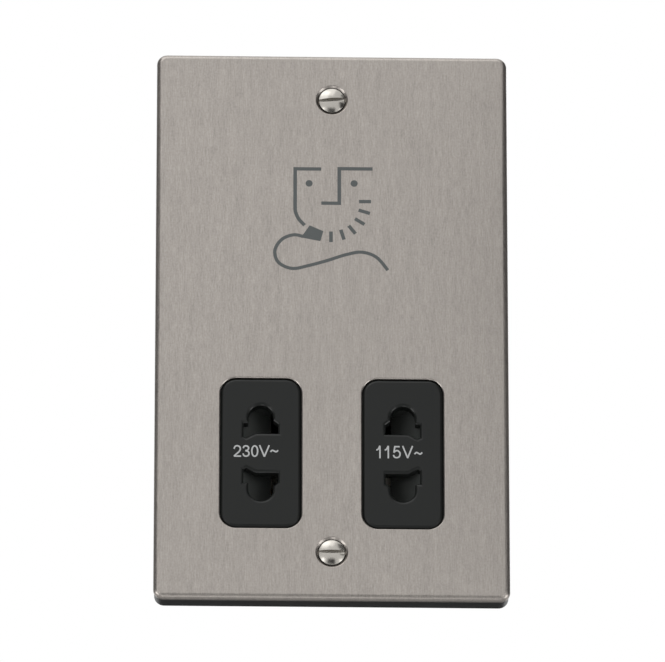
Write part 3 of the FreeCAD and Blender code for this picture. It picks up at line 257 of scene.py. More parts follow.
@dataclass(frozen=True)
class Finish:
    """A finish that is made into a material once.

    Args:
        name: Name of the material.
        slot: The record's slot for it; not used.
        colour: Main colour, linear.
    """

    name: str
    slot: str
    colour: Colour

    def shade(self, factor: float) -> Colour:
        """The main colour made lighter, or darker by a factor under 1."""
        red, green, blue = (min(c * factor, 1.0) for c in self.colour)
        return (red, green, blue)

    def tones(self, graph: Graph, factor: Signal, dark: float, light: float) -> Signal:
        """The main colour, varied from a darker to a lighter shade of it."""
        return graph.mix(factor, self.shade(dark), self.shade(light))

    @cache
    def material(self) -> bpy.types.Material:
        """Build the material when it is first asked for.

        Returns:
            The material.
        """
        made = bpy.data.materials.new(self.name)
        made.use_nodes = True
        self.build(Graph(made.node_tree))
        return made

    def build(self, graph: Graph) -> None:
        """Build the material's nodes in an empty graph."""
        raise NotImplementedError


@dataclass(frozen=True)
class BrushedSteel(Finish):
    """Sheet steel with a fine upright grain of short lines.

    Args:
        grain: Grain lines per metre.
        length: Breaks in each line per metre.
        contrast: Share by which a line is lighter or darker.
        roughness: Middle roughness.
        scratch: Depth of the grain, in metres.
    """

    grain: float = 4300.0
    length: float = 380.0
    contrast: float = 0.32
    roughness: float = 0.36
    scratch: float = 0.0000022

    def build(self, graph: Graph) -> None:
        """Build the steel.

        Args:
            graph: Empty graph.
        """
        fine = graph.noise((self.grain, self.grain, self.length), 2.0, 0.6)
        broad = graph.noise((self.grain * 0.2, self.grain * 0.2, self.length * 0.3))
        speck = graph.noise((self.grain * 0.5, self.grain * 0.5, self.length * 5.0))
        cloud = graph.noise((22.0, 22.0, 14.0))
        line = fine * 0.5 + broad * 0.2 + speck * 0.3
        grained = self.tones(graph, (line * 2.6 - 0.8).clamped(), 1.0 - self.contrast, 1.0 + self.contrast)
        tinted = graph.mix((cloud * 0.5).clamped(), grained, self.shade(0.96))
        rough = line * 0.16 + cloud * 0.05 + (self.roughness - 0.105)
        graph.finish(tinted, rough, (line, self.scratch), Metallic=1.0)


@dataclass(frozen=True)
class MouldedPlastic(Finish):
    """Moulded plastic with a fine texture.

    Args:
        roughness: Middle roughness.
        texture: Texture points per metre.
        relief: Depth of the texture, in metres.
        specular: Strength of the gloss.
    """

    roughness: float = 0.45
    texture: float = 2600.0
    relief: float = 0.000004
    specular: float = 0.35

    def build(self, graph: Graph) -> None:
        """Build the plastic.

        Args:
            graph: Empty graph.
        """
        spark = graph.noise((self.texture,) * 3)
        flow = graph.noise((70.0, 70.0, 45.0), 3.0)
        rub = graph.noise((420.0, 420.0, 160.0))
        rough = (spark - 0.5) * 0.12 + (rub - 0.5) * 0.14 + self.roughness
        graph.finish(self.tones(graph, flow, 0.88, 1.14), rough, (spark, self.relief),
                     Specular_IOR_Level=self.specular)


@dataclass(frozen=True)
class WorkedMetal(Finish):
    """Plated, turned or rolled metal with fine marks of its making.

    Args:
        roughness: Middle roughness.
        marks: Marks per metre along X, Y and Z.
        relief: Depth of the marks, in metres.
        tarnish: Share by which handled patches are darker.
    """

    roughness: float = 0.25
    marks: Triple = (900.0, 2400.0, 900.0)
    relief: float = 0.000002
    tarnish: float = 0.12

    def _worked(self, graph: Graph) -> tuple[Signal, Signal, Signal]:
        """Marks, colour and roughness of the metal.

        Args:
            graph: Empty graph.

        Returns:
            The three signals.
        """
        mark = graph.noise(self.marks)
        patch = graph.noise((260.0, 260.0, 260.0), 3.0)
        colour = self.tones(graph, patch, 1.0 - self.tarnish, 1.0 + self.tarnish * 0.5)
        return mark, colour, (mark - 0.5) * 0.14 + (patch - 0.5) * 0.16 + self.roughness

    def build(self, graph: Graph) -> None:
        """Build the metal in an empty graph."""
        mark, colour, rough = self._worked(graph)
        graph.finish(colour, rough, (mark, self.relief), Metallic=1.0)


@dataclass(frozen=True)
class SeatedMetal(WorkedMetal):
    """Plated metal of the fixing screws, with painted shade where the head meets its seat.

    Args:
        unshaded_reach: Distance from the screw's axis up to which the head is not darkened, in metres.
        shaded_reach: Distance from which it is fully darkened by painted shade, in metres.
        seat_shade: Colour of the painted shade where the head meets its seat.
    """

    unshaded_reach: float = 0.00315
    shaded_reach: float = 0.00326
    seat_shade: Colour = (0.035, 0.031, 0.026)

    def build(self, graph: Graph) -> None:
        """Build the metal.

        Args:
            graph: Empty graph.
        """
        mark, colour, rough = self._worked(graph)
        # Painted shade: the head's rim towards its seat is darkened, made rougher and less metallic, as a
        # dark ring
        across = graph.axis("X")
        along = graph.axis("Z").size() - FIXING_Z * MM
        reach = (across * across + along * along).root()
        edge = ((reach - self.unshaded_reach) * (1.0 / (self.shaded_reach - self.unshaded_reach))).clamped()
        graph.finish(graph.mix(edge, colour, self.seat_shade), rough + edge * 0.35, (mark, self.relief),
                     Metallic=1.0 - edge * 0.8)


@dataclass(frozen=True)
class StackedSheets(Finish):
    """Varnished stack of thin sheets that lie across Y.

    Args:
        sheet: Thickness of one sheet, in metres.
        bare: Colour of the metal that shows on the cut edges.
    """

    sheet: float = 0.0005
    bare: Colour = (0.24, 0.22, 0.2)

    def build(self, graph: Graph) -> None:
        """Build the stack.

        Args:
            graph: Empty graph.
        """
        wave = ((graph.axis("Y") * (1.0 / self.sheet)).fraction() - 0.5).size()
        blotch = graph.noise((180.0, 700.0, 180.0), 3.0)
        worn = (blotch * 2.4 - 1.1).clamped()
        colour = graph.mix(worn, self.colour, self.bare)
        lined = graph.mix((wave * 3.2 - 0.9).clamped(), colour, self.shade(0.45))
        graph.finish(lined, 0.62 - worn * 0.2, (1.0 - wave * 2.0, 0.00005), Metallic=worn * 0.7)


@dataclass(frozen=True)
class WoundWire(Finish):
    """Turns that lie side by side along X, with painted shade in the grooves between them.

    Args:
        pitch: Width of one turn, in metres.
        metallic: 1 for bare or enamelled wire, 0 for tape.
        relief: Height of a turn, in metres.
    """

    pitch: float = 0.0005
    metallic: float = 0.85
    relief: float = 0.00012

    def build(self, graph: Graph) -> None:
        """Build the winding.

        Args:
            graph: Empty graph.
        """
        slant = graph.axis("X") + (graph.noise((40.0, 40.0, 40.0)) - 0.5) * (self.pitch * 1.4)
        wave = ((slant * (1.0 / self.pitch)).fraction() - 0.5).size()
        sheen = graph.noise((2200.0, 90.0, 90.0))
        colour = self.tones(graph, sheen, 0.8, 1.15)
        # Painted shade: the grooves between turns are darkened
        grooved = graph.mix((wave * 4.0 - 1.2).clamped(), colour, self.shade(0.35))
        graph.finish(grooved, sheen * 0.2 + 0.28, (1.0 - wave * 2.0, self.relief), Metallic=self.metallic)


@dataclass(frozen=True)
class Ink(Finish):
    """Screen print, slightly uneven.

    Args:
        roughness: Roughness of the dry ink.
    """

    roughness: float = 0.55

    def build(self, graph: Graph) -> None:
        """Build the ink.

        Args:
            graph: Empty graph.
        """
        grain = graph.noise((5200.0, 5200.0, 700.0))
        lay = graph.noise((300.0, 300.0, 300.0))
        colour = self.tones(graph, (grain * 0.6 + lay * 0.4).clamped(), 0.84, 1.16)
        graph.finish(colour, (grain - 0.5) * 0.1 + self.roughness, (grain, 0.000002), Specular_IOR_Level=0.3)


@dataclass(frozen=True)
class StudioWall(Finish):
    """Plain pale surface of the studio."""

    def build(self, graph: Graph) -> None:
        """Build the surface in an empty graph."""
        graph.finish(self.tones(graph, graph.noise((2.0, 2.0, 2.0)), 0.985, 1.015), 0.9)


STEEL = BrushedSteel("brushed_plate", "plate_steel", (0.366, 0.338, 0.312))
BLACK = MouldedPlastic("satin_black", "black_moulding", (0.0075, 0.0086, 0.008), 0.34, 2600.0, 0.000003, 0.28)
NICKEL = SeatedMetal("nickel_screw", "bright_screw", (0.46, 0.438, 0.402), 0.2, (700.0, 2600.0, 700.0))
HOUSING = MouldedPlastic("spark_black", "housing_plastic", (0.03, 0.031, 0.032), 0.55, 1500.0, 0.00001, 0.4)
SLIDE = MouldedPlastic("slide_black", "shutter_plastic", (0.094, 0.1, 0.096), 0.4, 3000.0, 0.000002, 0.4)
CREAM = MouldedPlastic("cream_block", "block_plastic", (0.6, 0.57, 0.5), 0.5, 1800.0, 0.000006, 0.4)
NYLON = MouldedPlastic("natural_nylon", "former_plastic", (0.7, 0.68, 0.6), 0.4, 1800.0, 0.000005, 0.5)
SLEEVE = MouldedPlastic("cutout_paper", "cutout_sleeve", (0.64, 0.61, 0.54), 0.6, 900.0, 0.00001, 0.3)
SPRING = WorkedMetal("drawn_wire", "spring_steel", (0.55, 0.55, 0.56), 0.24, (300.0, 1500.0, 1500.0))
BRASS_STRIP = WorkedMetal("rolled_brass", "contact_brass", (0.72, 0.53, 0.26), 0.28, (1800.0, 300.0, 1800.0))
BRASS_BAR = WorkedMetal("cut_brass", "terminal_brass", (0.75, 0.58, 0.3), 0.3, (2200.0, 2200.0, 260.0))
TINNED = WorkedMetal("tinned_copper", "tinned_strip", (0.66, 0.66, 0.64), 0.34, (1800.0, 300.0, 1800.0))
BRONZE = WorkedMetal("spring_bronze", "spring_bronze", (0.66, 0.42, 0.24), 0.26, (300.0, 1800.0, 1800.0))
ZINC = WorkedMetal("zinc_plate", "zinc_screw", (0.62, 0.62, 0.6), 0.33, (800.0, 2200.0, 800.0))
PASSIVATED = WorkedMetal("yellow_plate", "terminal_screw", (0.7, 0.66, 0.5), 0.3, (800.0, 2200.0, 800.0))
STACK = StackedSheets("dipped_stack", "core_varnish", (0.075, 0.062, 0.053))
TAPE = WoundWire("yellow_tape", "winding_tape", (0.7, 0.52, 0.12), 0.006, 0.0, 0.00006)
COPPER = WoundWire("copper_turns", "winding_copper", (0.6, 0.25, 0.11), 0.0007, 0.9, 0.00016)
SIGN_INK = Ink("dark_print", "plate_steel", (0.1, 0.109, 0.109), 0.5)
MARK_INK = Ink("light_print", "black_moulding", (0.5, 0.51, 0.51), 0.55)
WIRES = {sleeve: MouldedPlastic("sleeve_%s" % sleeve.name.lower(), "lead_%s" % sleeve.name.lower(),
                                sleeve.value, 0.4, 900.0, 0.000004, 0.5) for sleeve in Sleeve}
PALE = StudioWall("pale_studio", "", (0.86, 0.86, 0.86))


# Modelling by hand


def linked(name: str, data: Any) -> bpy.types.Object:
    """Put data into the scene as a new object.

    Args:
        name: Name of the object.
        data: Mesh, curve, lamp or camera.

    Returns:
        The object.
    """
    made = bpy.data.objects.new(name, data)
    bpy.context.scene.collection.objects.link(made)
    return made


def at_depth(y: float) -> Callable[..., bool]:
    """Test for edges that lie at one depth."""
    return lambda *ends: all(abs(end.y - y * MM) < NEAR * MM for end in ends)


class Work:
    """A mesh object, with the steps of modelling that the sub-assemblies share."""

    def __init__(self, name: str, piece: bpy.types.Object) -> None:
        """Take an object, and name it and its mesh."""
        self.piece = piece
        piece.name = piece.data.name = name

    @staticmethod
    def clear() -> None:
        """Leave edit mode and select nothing."""
        if bpy.context.object and bpy.context.object.mode != "OBJECT":
            bpy.ops.object.mode_set(mode="OBJECT")
        bpy.ops.object.select_all(action="DESELECT")

    @staticmethod
    def start(name: str, primitive: Callable[..., Any], scale: Triple = (1.0, 1.0, 1.0),
              **settings: Any) -> "Work":
        """Start a piece from a primitive.

        Args:
            name: Name of the piece.
            primitive: Operator that adds it.
            scale: How far it is stretched along its own axes.
            settings: The operator's settings, in metres.

        Returns:
            The piece, with its place in its mesh.
        """
        Work.clear()
        primitive(**settings)
        work = Work(name, bpy.context.object)
        work.piece.scale = scale
        work.apply()
        return work

    @staticmethod
    def slot_bar(radius: float, near: float, far: float, width: float) -> "Work":
        """Bar that cuts a level slot across a head, from one depth to another."""
        return Work.start("slot_bar", bpy.ops.mesh.primitive_cube_add,
                          (3 * radius * MM, (far - near) * MM, width * MM),
                          size=1.0, location=(0.0, (near + far) / 2 * MM, 0.0))

    @staticmethod
    def joined(works: list["Work"], name: str) -> "Work":
        """Join several pieces into one.

        Args:
            works: Pieces to join.
            name: Name of the result.

        Returns:
            The joined piece, with its place in its mesh.
        """
        works[0].pick()
        for work in works:
            work.piece.select_set(True)
        bpy.ops.object.join()
        whole = Work(name, bpy.context.object)
        whole.apply()
        return whole

    def copied(self, name: str, x: float, z: float, turn: float = 0.0) -> "Work":
        """Copy the piece with a mesh of its own.

        Args:
            name: Name of the copy.
            x: Shift along X.
            z: Shift along Z.
            turn: Turn about the Y axis before the shift, in degrees.

        Returns:
            The copy, with its place in its mesh.
        """
        twin = self.piece.copy()
        twin.data = self.piece.data.copy()
        bpy.context.scene.collection.objects.link(twin)
        twin.location = (x * MM, 0.0, z * MM)
        twin.rotation_euler = (0.0, math.radians(turn), 0.0)
        work = Work(name, twin)
        work.apply()
        return work

    def pick(self) -> None:
        """Make the piece the only selected and active object."""
        Work.clear()
        self.piece.select_set(True)
        bpy.context.view_layer.objects.active = self.piece

    def apply(self) -> None:
        """Move the object's place, turn and scale into its mesh."""
        self.pick()
        bpy.ops.object.transform_apply(location=True, rotation=True, scale=True)

    def edit(self, part: Part, everything: bool = False) -> None:
        """Open the mesh.

        Args:
            part: What is selected in it.
            everything: True to select all of it, False to select nothing.
        """
        self.pick()
        bpy.ops.object.mode_set(mode="EDIT")
        bpy.ops.mesh.select_mode(type=part.value)
        bpy.ops.mesh.select_all(action="SELECT" if everything else "DESELECT")

    def choose(self, wanted: Callable[..., bool], selected: bool = False) -> int:
        """Select edges of the open mesh by where their ends lie.

        Args:
            wanted: Test on the places of an edge's two ends.
            selected: True to choose only among the edges that are selected.

        Returns:
            How many edges were chosen.
        """
        bpy.ops.object.mode_set(mode="OBJECT")
        mesh = self.piece.data
        chosen = [edge for edge in mesh.edges if (edge.select or not selected)
                  and wanted(*(mesh.vertices[i].co for i in edge.vertices))]
        for group in (mesh.polygons, mesh.edges, mesh.vertices):
            group.foreach_set("select", [False] * len(group))
        for edge in chosen:
            edge.select = True
        bpy.ops.object.mode_set(mode="EDIT")
        bpy.ops.mesh.select_mode(type=Part.EDGES.value)
        return len(chosen)

    def rings(self, rings: list[Point]) -> None:
        """Draw the selected ring out along Y, through one ring after another.

        Args:
            rings: Radius and depth of the selected ring, and of each one that follows.
        """
        for (radius, y), (new_radius, new_y) in zip(rings, rings[1:]):
            bpy.ops.mesh.extrude_region_move(TRANSFORM_OT_translate={"value": (0.0, (new_y - y) * MM, 0.0)})
            factor = new_radius / radius
            bpy.ops.transform.resize(value=(factor, 1.0, factor), center_override=(0.0, new_y * MM, 0.0))

    def modify(self, kind: str, **settings: Any) -> None:
        """Add one modifier and apply it.

        Args:
            kind: Modifier type.
            settings: Its properties.
        """
        self.pick()
        modifier = self.piece.modifiers.new(kind.lower(), kind)
        for key, value in settings.items():
            setattr(modifier, key, value)
        bpy.ops.object.modifier_apply(modifier=modifier.name)

    def screw(self, axis: str, rise: float, turns: int, steps: int) -> None:
        """Screw a profile along an axis and close both ends.

        Args:
            axis: "X" or "Y".
            rise: Rise of one turn.
            turns: Number of turns.
            steps: Faces round one turn.
        """
        self.modify("SCREW", axis=axis, angle=math.tau, screw_offset=rise * MM, iterations=turns,
                    steps=steps, render_steps=steps)
        self.edit(Part.POINTS, True)
        bpy.ops.mesh.remove_doubles(threshold=MERGE * MM)
        bpy.ops.mesh.fill_holes(sides=0)
        self.pick()

    def cut(self, cutter: "Work") -> None:
        """Cut another piece's shape out, and remove that piece."""
        self.modify("BOOLEAN", operation="DIFFERENCE", solver="EXACT", object=cutter.piece)
        bpy.data.objects.remove(cutter.piece)

    def smooth(self, angle: float) -> None:
        """Shade smoothly over edges up to an angle, in degrees."""
        self.pick()
        bpy.ops.object.shade_smooth_by_angle(angle=math.radians(angle))

    def settle(self, angle: float = 32.0, merge: float = MERGE) -> None:
        """Merge doubles, turn the faces outwards and shade smoothly.

        Args:
            angle: Edges sharper than this stay sharp, in degrees.
            merge: Points closer than this become one.
        """
        self.edit(Part.POINTS, True)
        bpy.ops.mesh.remove_doubles(threshold=merge * MM)
        bpy.ops.mesh.normals_make_consistent(inside=False)
        self.smooth(angle)

    def soften(self, width: float, angle: float) -> None:
        """Round the sharp edges and keep the flat faces flat.

        Args:
            width: Width of the rounding.
            angle: Edges sharper than this are rounded, in degrees.
        """
        self.modify("BEVEL", width=width * MM, segments=2, limit_method="ANGLE",
                    angle_limit=math.radians(angle), miter_outer="MITER_ARC")
        self.smooth(angle + 10.0)
        self.weigh()

    def weigh(self) -> None:
        """Let large faces decide the shading of the small ones beside them."""
        self.modify("WEIGHTED_NORMAL", mode="FACE_AREA", weight=100, keep_sharp=True)

    def dress(self, finish: Finish, node: str = "", body: Body | None = Body.SOCKET) -> None:
        """Give the piece its finish and its body.

        Args:
            finish: Its finish.
            node: CAD node that it replaces, or nothing for a piece of its own.
            body: Body that it rides on, or None for a piece that rides on no body.
        """
        piece = self.piece
        piece.data.materials.clear()
        piece.data.materials.append(finish.material())
        if node:
            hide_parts(node)
        if body is not None:
            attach(piece, body.value)
        LOG.info("%s: %d faces, %s", piece.name, len(piece.data.polygons), finish.name)


@dataclass(frozen=True)
class NodeCopy:
    """A CAD node that is copied, cleaned, given softened edges and dressed.

    Args:
        node: Name of the CAD node.
        name: Name of the piece.
        finish: Finish of the piece.
        edge: Width of the softened edges, or 0 for none.
        angle: Edges sharper than this stay sharp or are softened, in degrees.
        body: Body that the piece rides on.
    """

    node: str
    name: str
    finish: Finish
    edge: float = 0.0
    angle: float = 35.0
    body: Body = Body.SOCKET

    def build(self) -> Work:
        """Make the copy and dress it.

        Returns:
            The piece.
        """
        work = Work(self.name, linked(self.name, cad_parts[self.node].data.copy()))
        work.edit(Part.POINTS, True)
        bpy.ops.mesh.remove_doubles(threshold=MERGE * MM)
        bpy.ops.mesh.customdata_custom_splitnormals_clear()
        bpy.ops.mesh.dissolve_limited(angle_limit=math.radians(FLAT_ANGLE))
        work.smooth(self.angle)
        if self.edge:
            work.soften(self.edge, self.angle)
        else:
            work.weigh()
        work.dress(self.finish, self.node, self.body)
        return work


# Lines of print and of raised marks


@dataclass(frozen=True)
class Stroke:
    """Line of even width with square ends.

    Args:
        points: Points along its middle.
        bends: First and last number of each run of points that flows smoothly.
        width: Its width.
        foot: Corners of a solid shape at its start, from its right side round to its left.
        closed: True for a smooth loop.
    """

    points: tuple[Point, ...]
    bends: tuple[tuple[int, int], ...] = ()
    width: float = 0.9
    foot: tuple[Point, ...] = ()
    closed: bool = False

    def _middle(self) -> list[Vector]:
        """Fill in the smooth runs.

        Returns:
            Points along the middle, close together.
        """
        points = [Vector(point) for point in self.points]
        count = len(points)
        line = []
        for index, point in enumerate(points if self.closed else points[:-1]):
            run = next(((first, last) for first, last in self.bends if first <= index < last), None)
            beyond = points[(index + 1) % count]
            if self.closed or run:
                first, last = run or (0, count)
                before, after = (points[i % count if self.closed else min(max(i, first), last)]
                                 for i in (index - 1, index + 2))
                line += interpolate_bezier(point, point + (beyond - before) / 6,
                                           beyond - (after - point) / 6, beyond, BEND_POINTS)[:-1]
            else:
                steps = max(1, round((beyond - point).length / self.width))
                line += [point.lerp(beyond, step / steps) for step in range(steps)]
        if not self.closed:
            line.append(points[-1])
        return [Vector(place[:2]) for place in line]

    def outlines(self) -> list[Outline]:
        """Closed outlines of the line.

        Returns:
            One outline, or two for a loop.
        """
        line = self._middle()
        loop = [line[-1], *line, line[0]] if self.closed else line
        runs = list(zip(loop, loop[1:]))
        ways = [(b - a).normalized() for a, b in runs]
        if not self.closed:
            ways = [ways[0], *ways, ways[-1]]
        half = self.width / 2
        sides: dict[int, Outline] = {1: [], -1: []}
        for point, before, after in zip(line, ways, ways[1:]):
            across = [Vector((-way.y, way.x)) * half for way in (before, after)]
            both = across[0] + across[1]
            mitre = both * (half ** 2 / both.dot(across[0]))
            turn = before.x * after.y - before.y * after.x
            for side, places in sides.items():
                limit = 0.9 if turn * side > 0 else -0.3
                corners = [mitre] if before.dot(after) > limit else across
                places.extend(tuple(point + corner * side) for corner in corners)
        if self.closed:
            return [sides[1], sides[-1]]
        return [untangled(sides[1]) + untangled(sides[-1])[::-1] + list(self.foot)]


def untangled(places: Outline) -> Outline:
    """Cut the small loops out of one side of a line.

    Args:
        places: Points along the side.

    Returns:
        The points without the loops.
    """
    kept = list(places)
    index = 0
    while index < len(kept) - 2:
        for far in range(len(kept) - 2, index + 1, -1):
            met = intersect_line_line_2d(kept[index], kept[index + 1], kept[far], kept[far + 1])
            if met:
                kept[index + 1:far + 1] = [tuple(met)]
                break
        index += 1
    return kept


@dataclass(frozen=True)
class Glyph:
    """Letter or figure drawn with strokes and fitted to a box.

    Args:
        letter: The letter or figure.
        left: Left edge.
        right: Right edge.
        low: Lowest edge.
        high: Highest edge.
        weight: Width of its lines.
    """

    letter: str
    left: float
    right: float
    low: float
    high: float
    weight: float

    def outlines(self) -> list[Outline]:
        """Fit the letter's line to the box.

        Returns:
            Closed outlines of the glyph.
        """
        points, bends, closed = GLYPHS[self.letter]
        width = self.right - self.left - self.weight
        height = self.high - self.low - self.weight
        placed = tuple((self.left + self.weight / 2 + x * width, self.low + self.weight / 2 + z * height)
                       for x, z in points)
        return Stroke(placed, bends, self.weight, (), closed).outlines()


GLYPHS: dict[str, tuple[tuple[Point, ...], tuple[tuple[int, int], ...], bool]] = {
    "0": (((0.5, 1.0), (0.14, 0.86), (0.0, 0.5), (0.14, 0.14), (0.5, 0.0), (0.86, 0.14), (1.0, 0.5),
           (0.86, 0.86)), (), True),
    "1": (((0.0, 0.66), (0.55, 0.79), (0.98, 1.06), (1.0, -0.07)), ((0, 2),), False),
    "2": (((0.03, 0.7), (0.16, 0.92), (0.5, 1.0), (0.86, 0.9), (0.95, 0.68), (0.78, 0.44), (0.36, 0.2),
           (0.02, 0.0), (1.08, 0.0)), ((0, 7),), False),
    "3": (((0.02, 0.77), (0.16, 0.94), (0.48, 1.0), (0.82, 0.92), (0.9, 0.76), (0.76, 0.6), (0.38, 0.53),
           (0.8, 0.46), (0.98, 0.28), (0.84, 0.07), (0.46, 0.0), (0.14, 0.07), (0.0, 0.26)),
          ((0, 6), (6, 12)), False),
    "5": (((0.94, 1.0), (0.2, 1.0), (0.06, 0.47), (0.3, 0.6), (0.6, 0.64), (0.92, 0.5), (1.0, 0.3),
           (0.84, 0.07), (0.46, 0.0), (0.12, 0.07), (0.0, 0.24)), ((2, 10),), False),
    "L": (((0.0, 1.1), (0.0, 0.0), (1.1, 0.0)), (), False),
    "N": (((0.0, -0.1), (0.0, 1.0), (1.0, 0.0), (1.0, 1.1)), (), False),
    "V": (((-0.02, 1.07), (0.5, -0.02), (1.02, 1.07)), (), False),
    "~": (((-0.05, 0.0), (0.22, 0.95), (0.5, 0.5), (0.78, 0.05), (1.05, 1.0)), ((0, 4),), False),
}


@dataclass(frozen=True)
class Relief:
    """Flat shape that stands out of a face.

    Args:
        name: Name of the piece.
        shapes: Closed outlines of each shape as the reader sees them; one inside another is a hole.
        face_y: Depth of the face.
        height: How far the shape stands out of the face.
        sunk: How far it reaches into the face.
        rear: True for a face that looks rearwards.
    """

    name: str
    shapes: list[list[Outline]]
    face_y: float
    height: float
    sunk: float
    rear: bool = False

    def build(self) -> Work:
        """Build the shape.

        Returns:
            The shape as a mesh.
        """
        work = Work.joined([self._shape(outlines) for outlines in self.shapes], self.name)
        outwards = 1 if self.rear else -1
        work.piece.scale = (MM, MM, MM)
        work.piece.rotation_euler = (math.pi / 2, 0.0, math.pi if self.rear else 0.0)
        work.piece.location = (0.0, (self.face_y + outwards * (self.height - self.sunk) / 2) * MM, 0.0)
        work.apply()
        work.settle()
        return work

    def _shape(self, outlines: list[Outline]) -> Work:
        """Fill one shape's outlines and give it its thickness.

        Args:
            outlines: Closed outlines.

        Returns:
            The shape as a flat solid mesh, one unit to the mm.
        """
        curve = bpy.data.curves.new(self.name, "CURVE")
        curve.dimensions = "2D"
        curve.fill_mode = "BOTH"
        curve.extrude = (self.height + self.sunk) / 2
        for outline in outlines:
            spline = curve.splines.new("POLY")
            spline.points.add(len(outline) - 1)
            for point, (x, z) in zip(spline.points, outline):
                point.co = (x, z, 0.0, 1.0)
            spline.use_cyclic_u = True
        Work(self.name, linked(self.name, curve)).pick()
        bpy.ops.object.convert(target="MESH")
        return Work(self.name, bpy.context.object)


# Front of the socket


@dataclass
class CoverPlate:
    """Pressed steel pan at the front.

    Args:
        edge: Softening of its window edges.
    """

    edge: float = 0.08

    def build(self) -> None:
        """Build and dress the plate."""
        NodeCopy("cover_plate", "steel_plate", STEEL, self.edge, angle=30.0).build()


@dataclass
class OutletFront:
    """Black front moulding with the two outlets.

    Args:
        edge: Softening of its edges.
        rim: Rounding of the faces' and the apertures' front rims.
        sharp: Edges sharper than this are rounded, in degrees.
    """

    edge: float = 0.12
    rim: float = 0.3
    sharp: float = 32.0

    def build(self) -> None:
        """Build and dress the moulding, and round the edges that lie in the outlets' faces."""
        front = NodeCopy("outlet_moulding", "outlet_front", BLACK).build()
        front.edit(Part.EDGES)
        bpy.ops.mesh.edges_select_sharp(sharpness=math.radians(self.sharp))
        rims = front.choose(at_depth(OUTLET_FACE_Y), True)
        bpy.ops.mesh.bevel(offset=self.rim * MM, segments=3, clamp_overlap=False)
        LOG.info("%s: %d rim edges rounded", front.piece.name, rims)
        front.soften(self.edge, self.sharp)


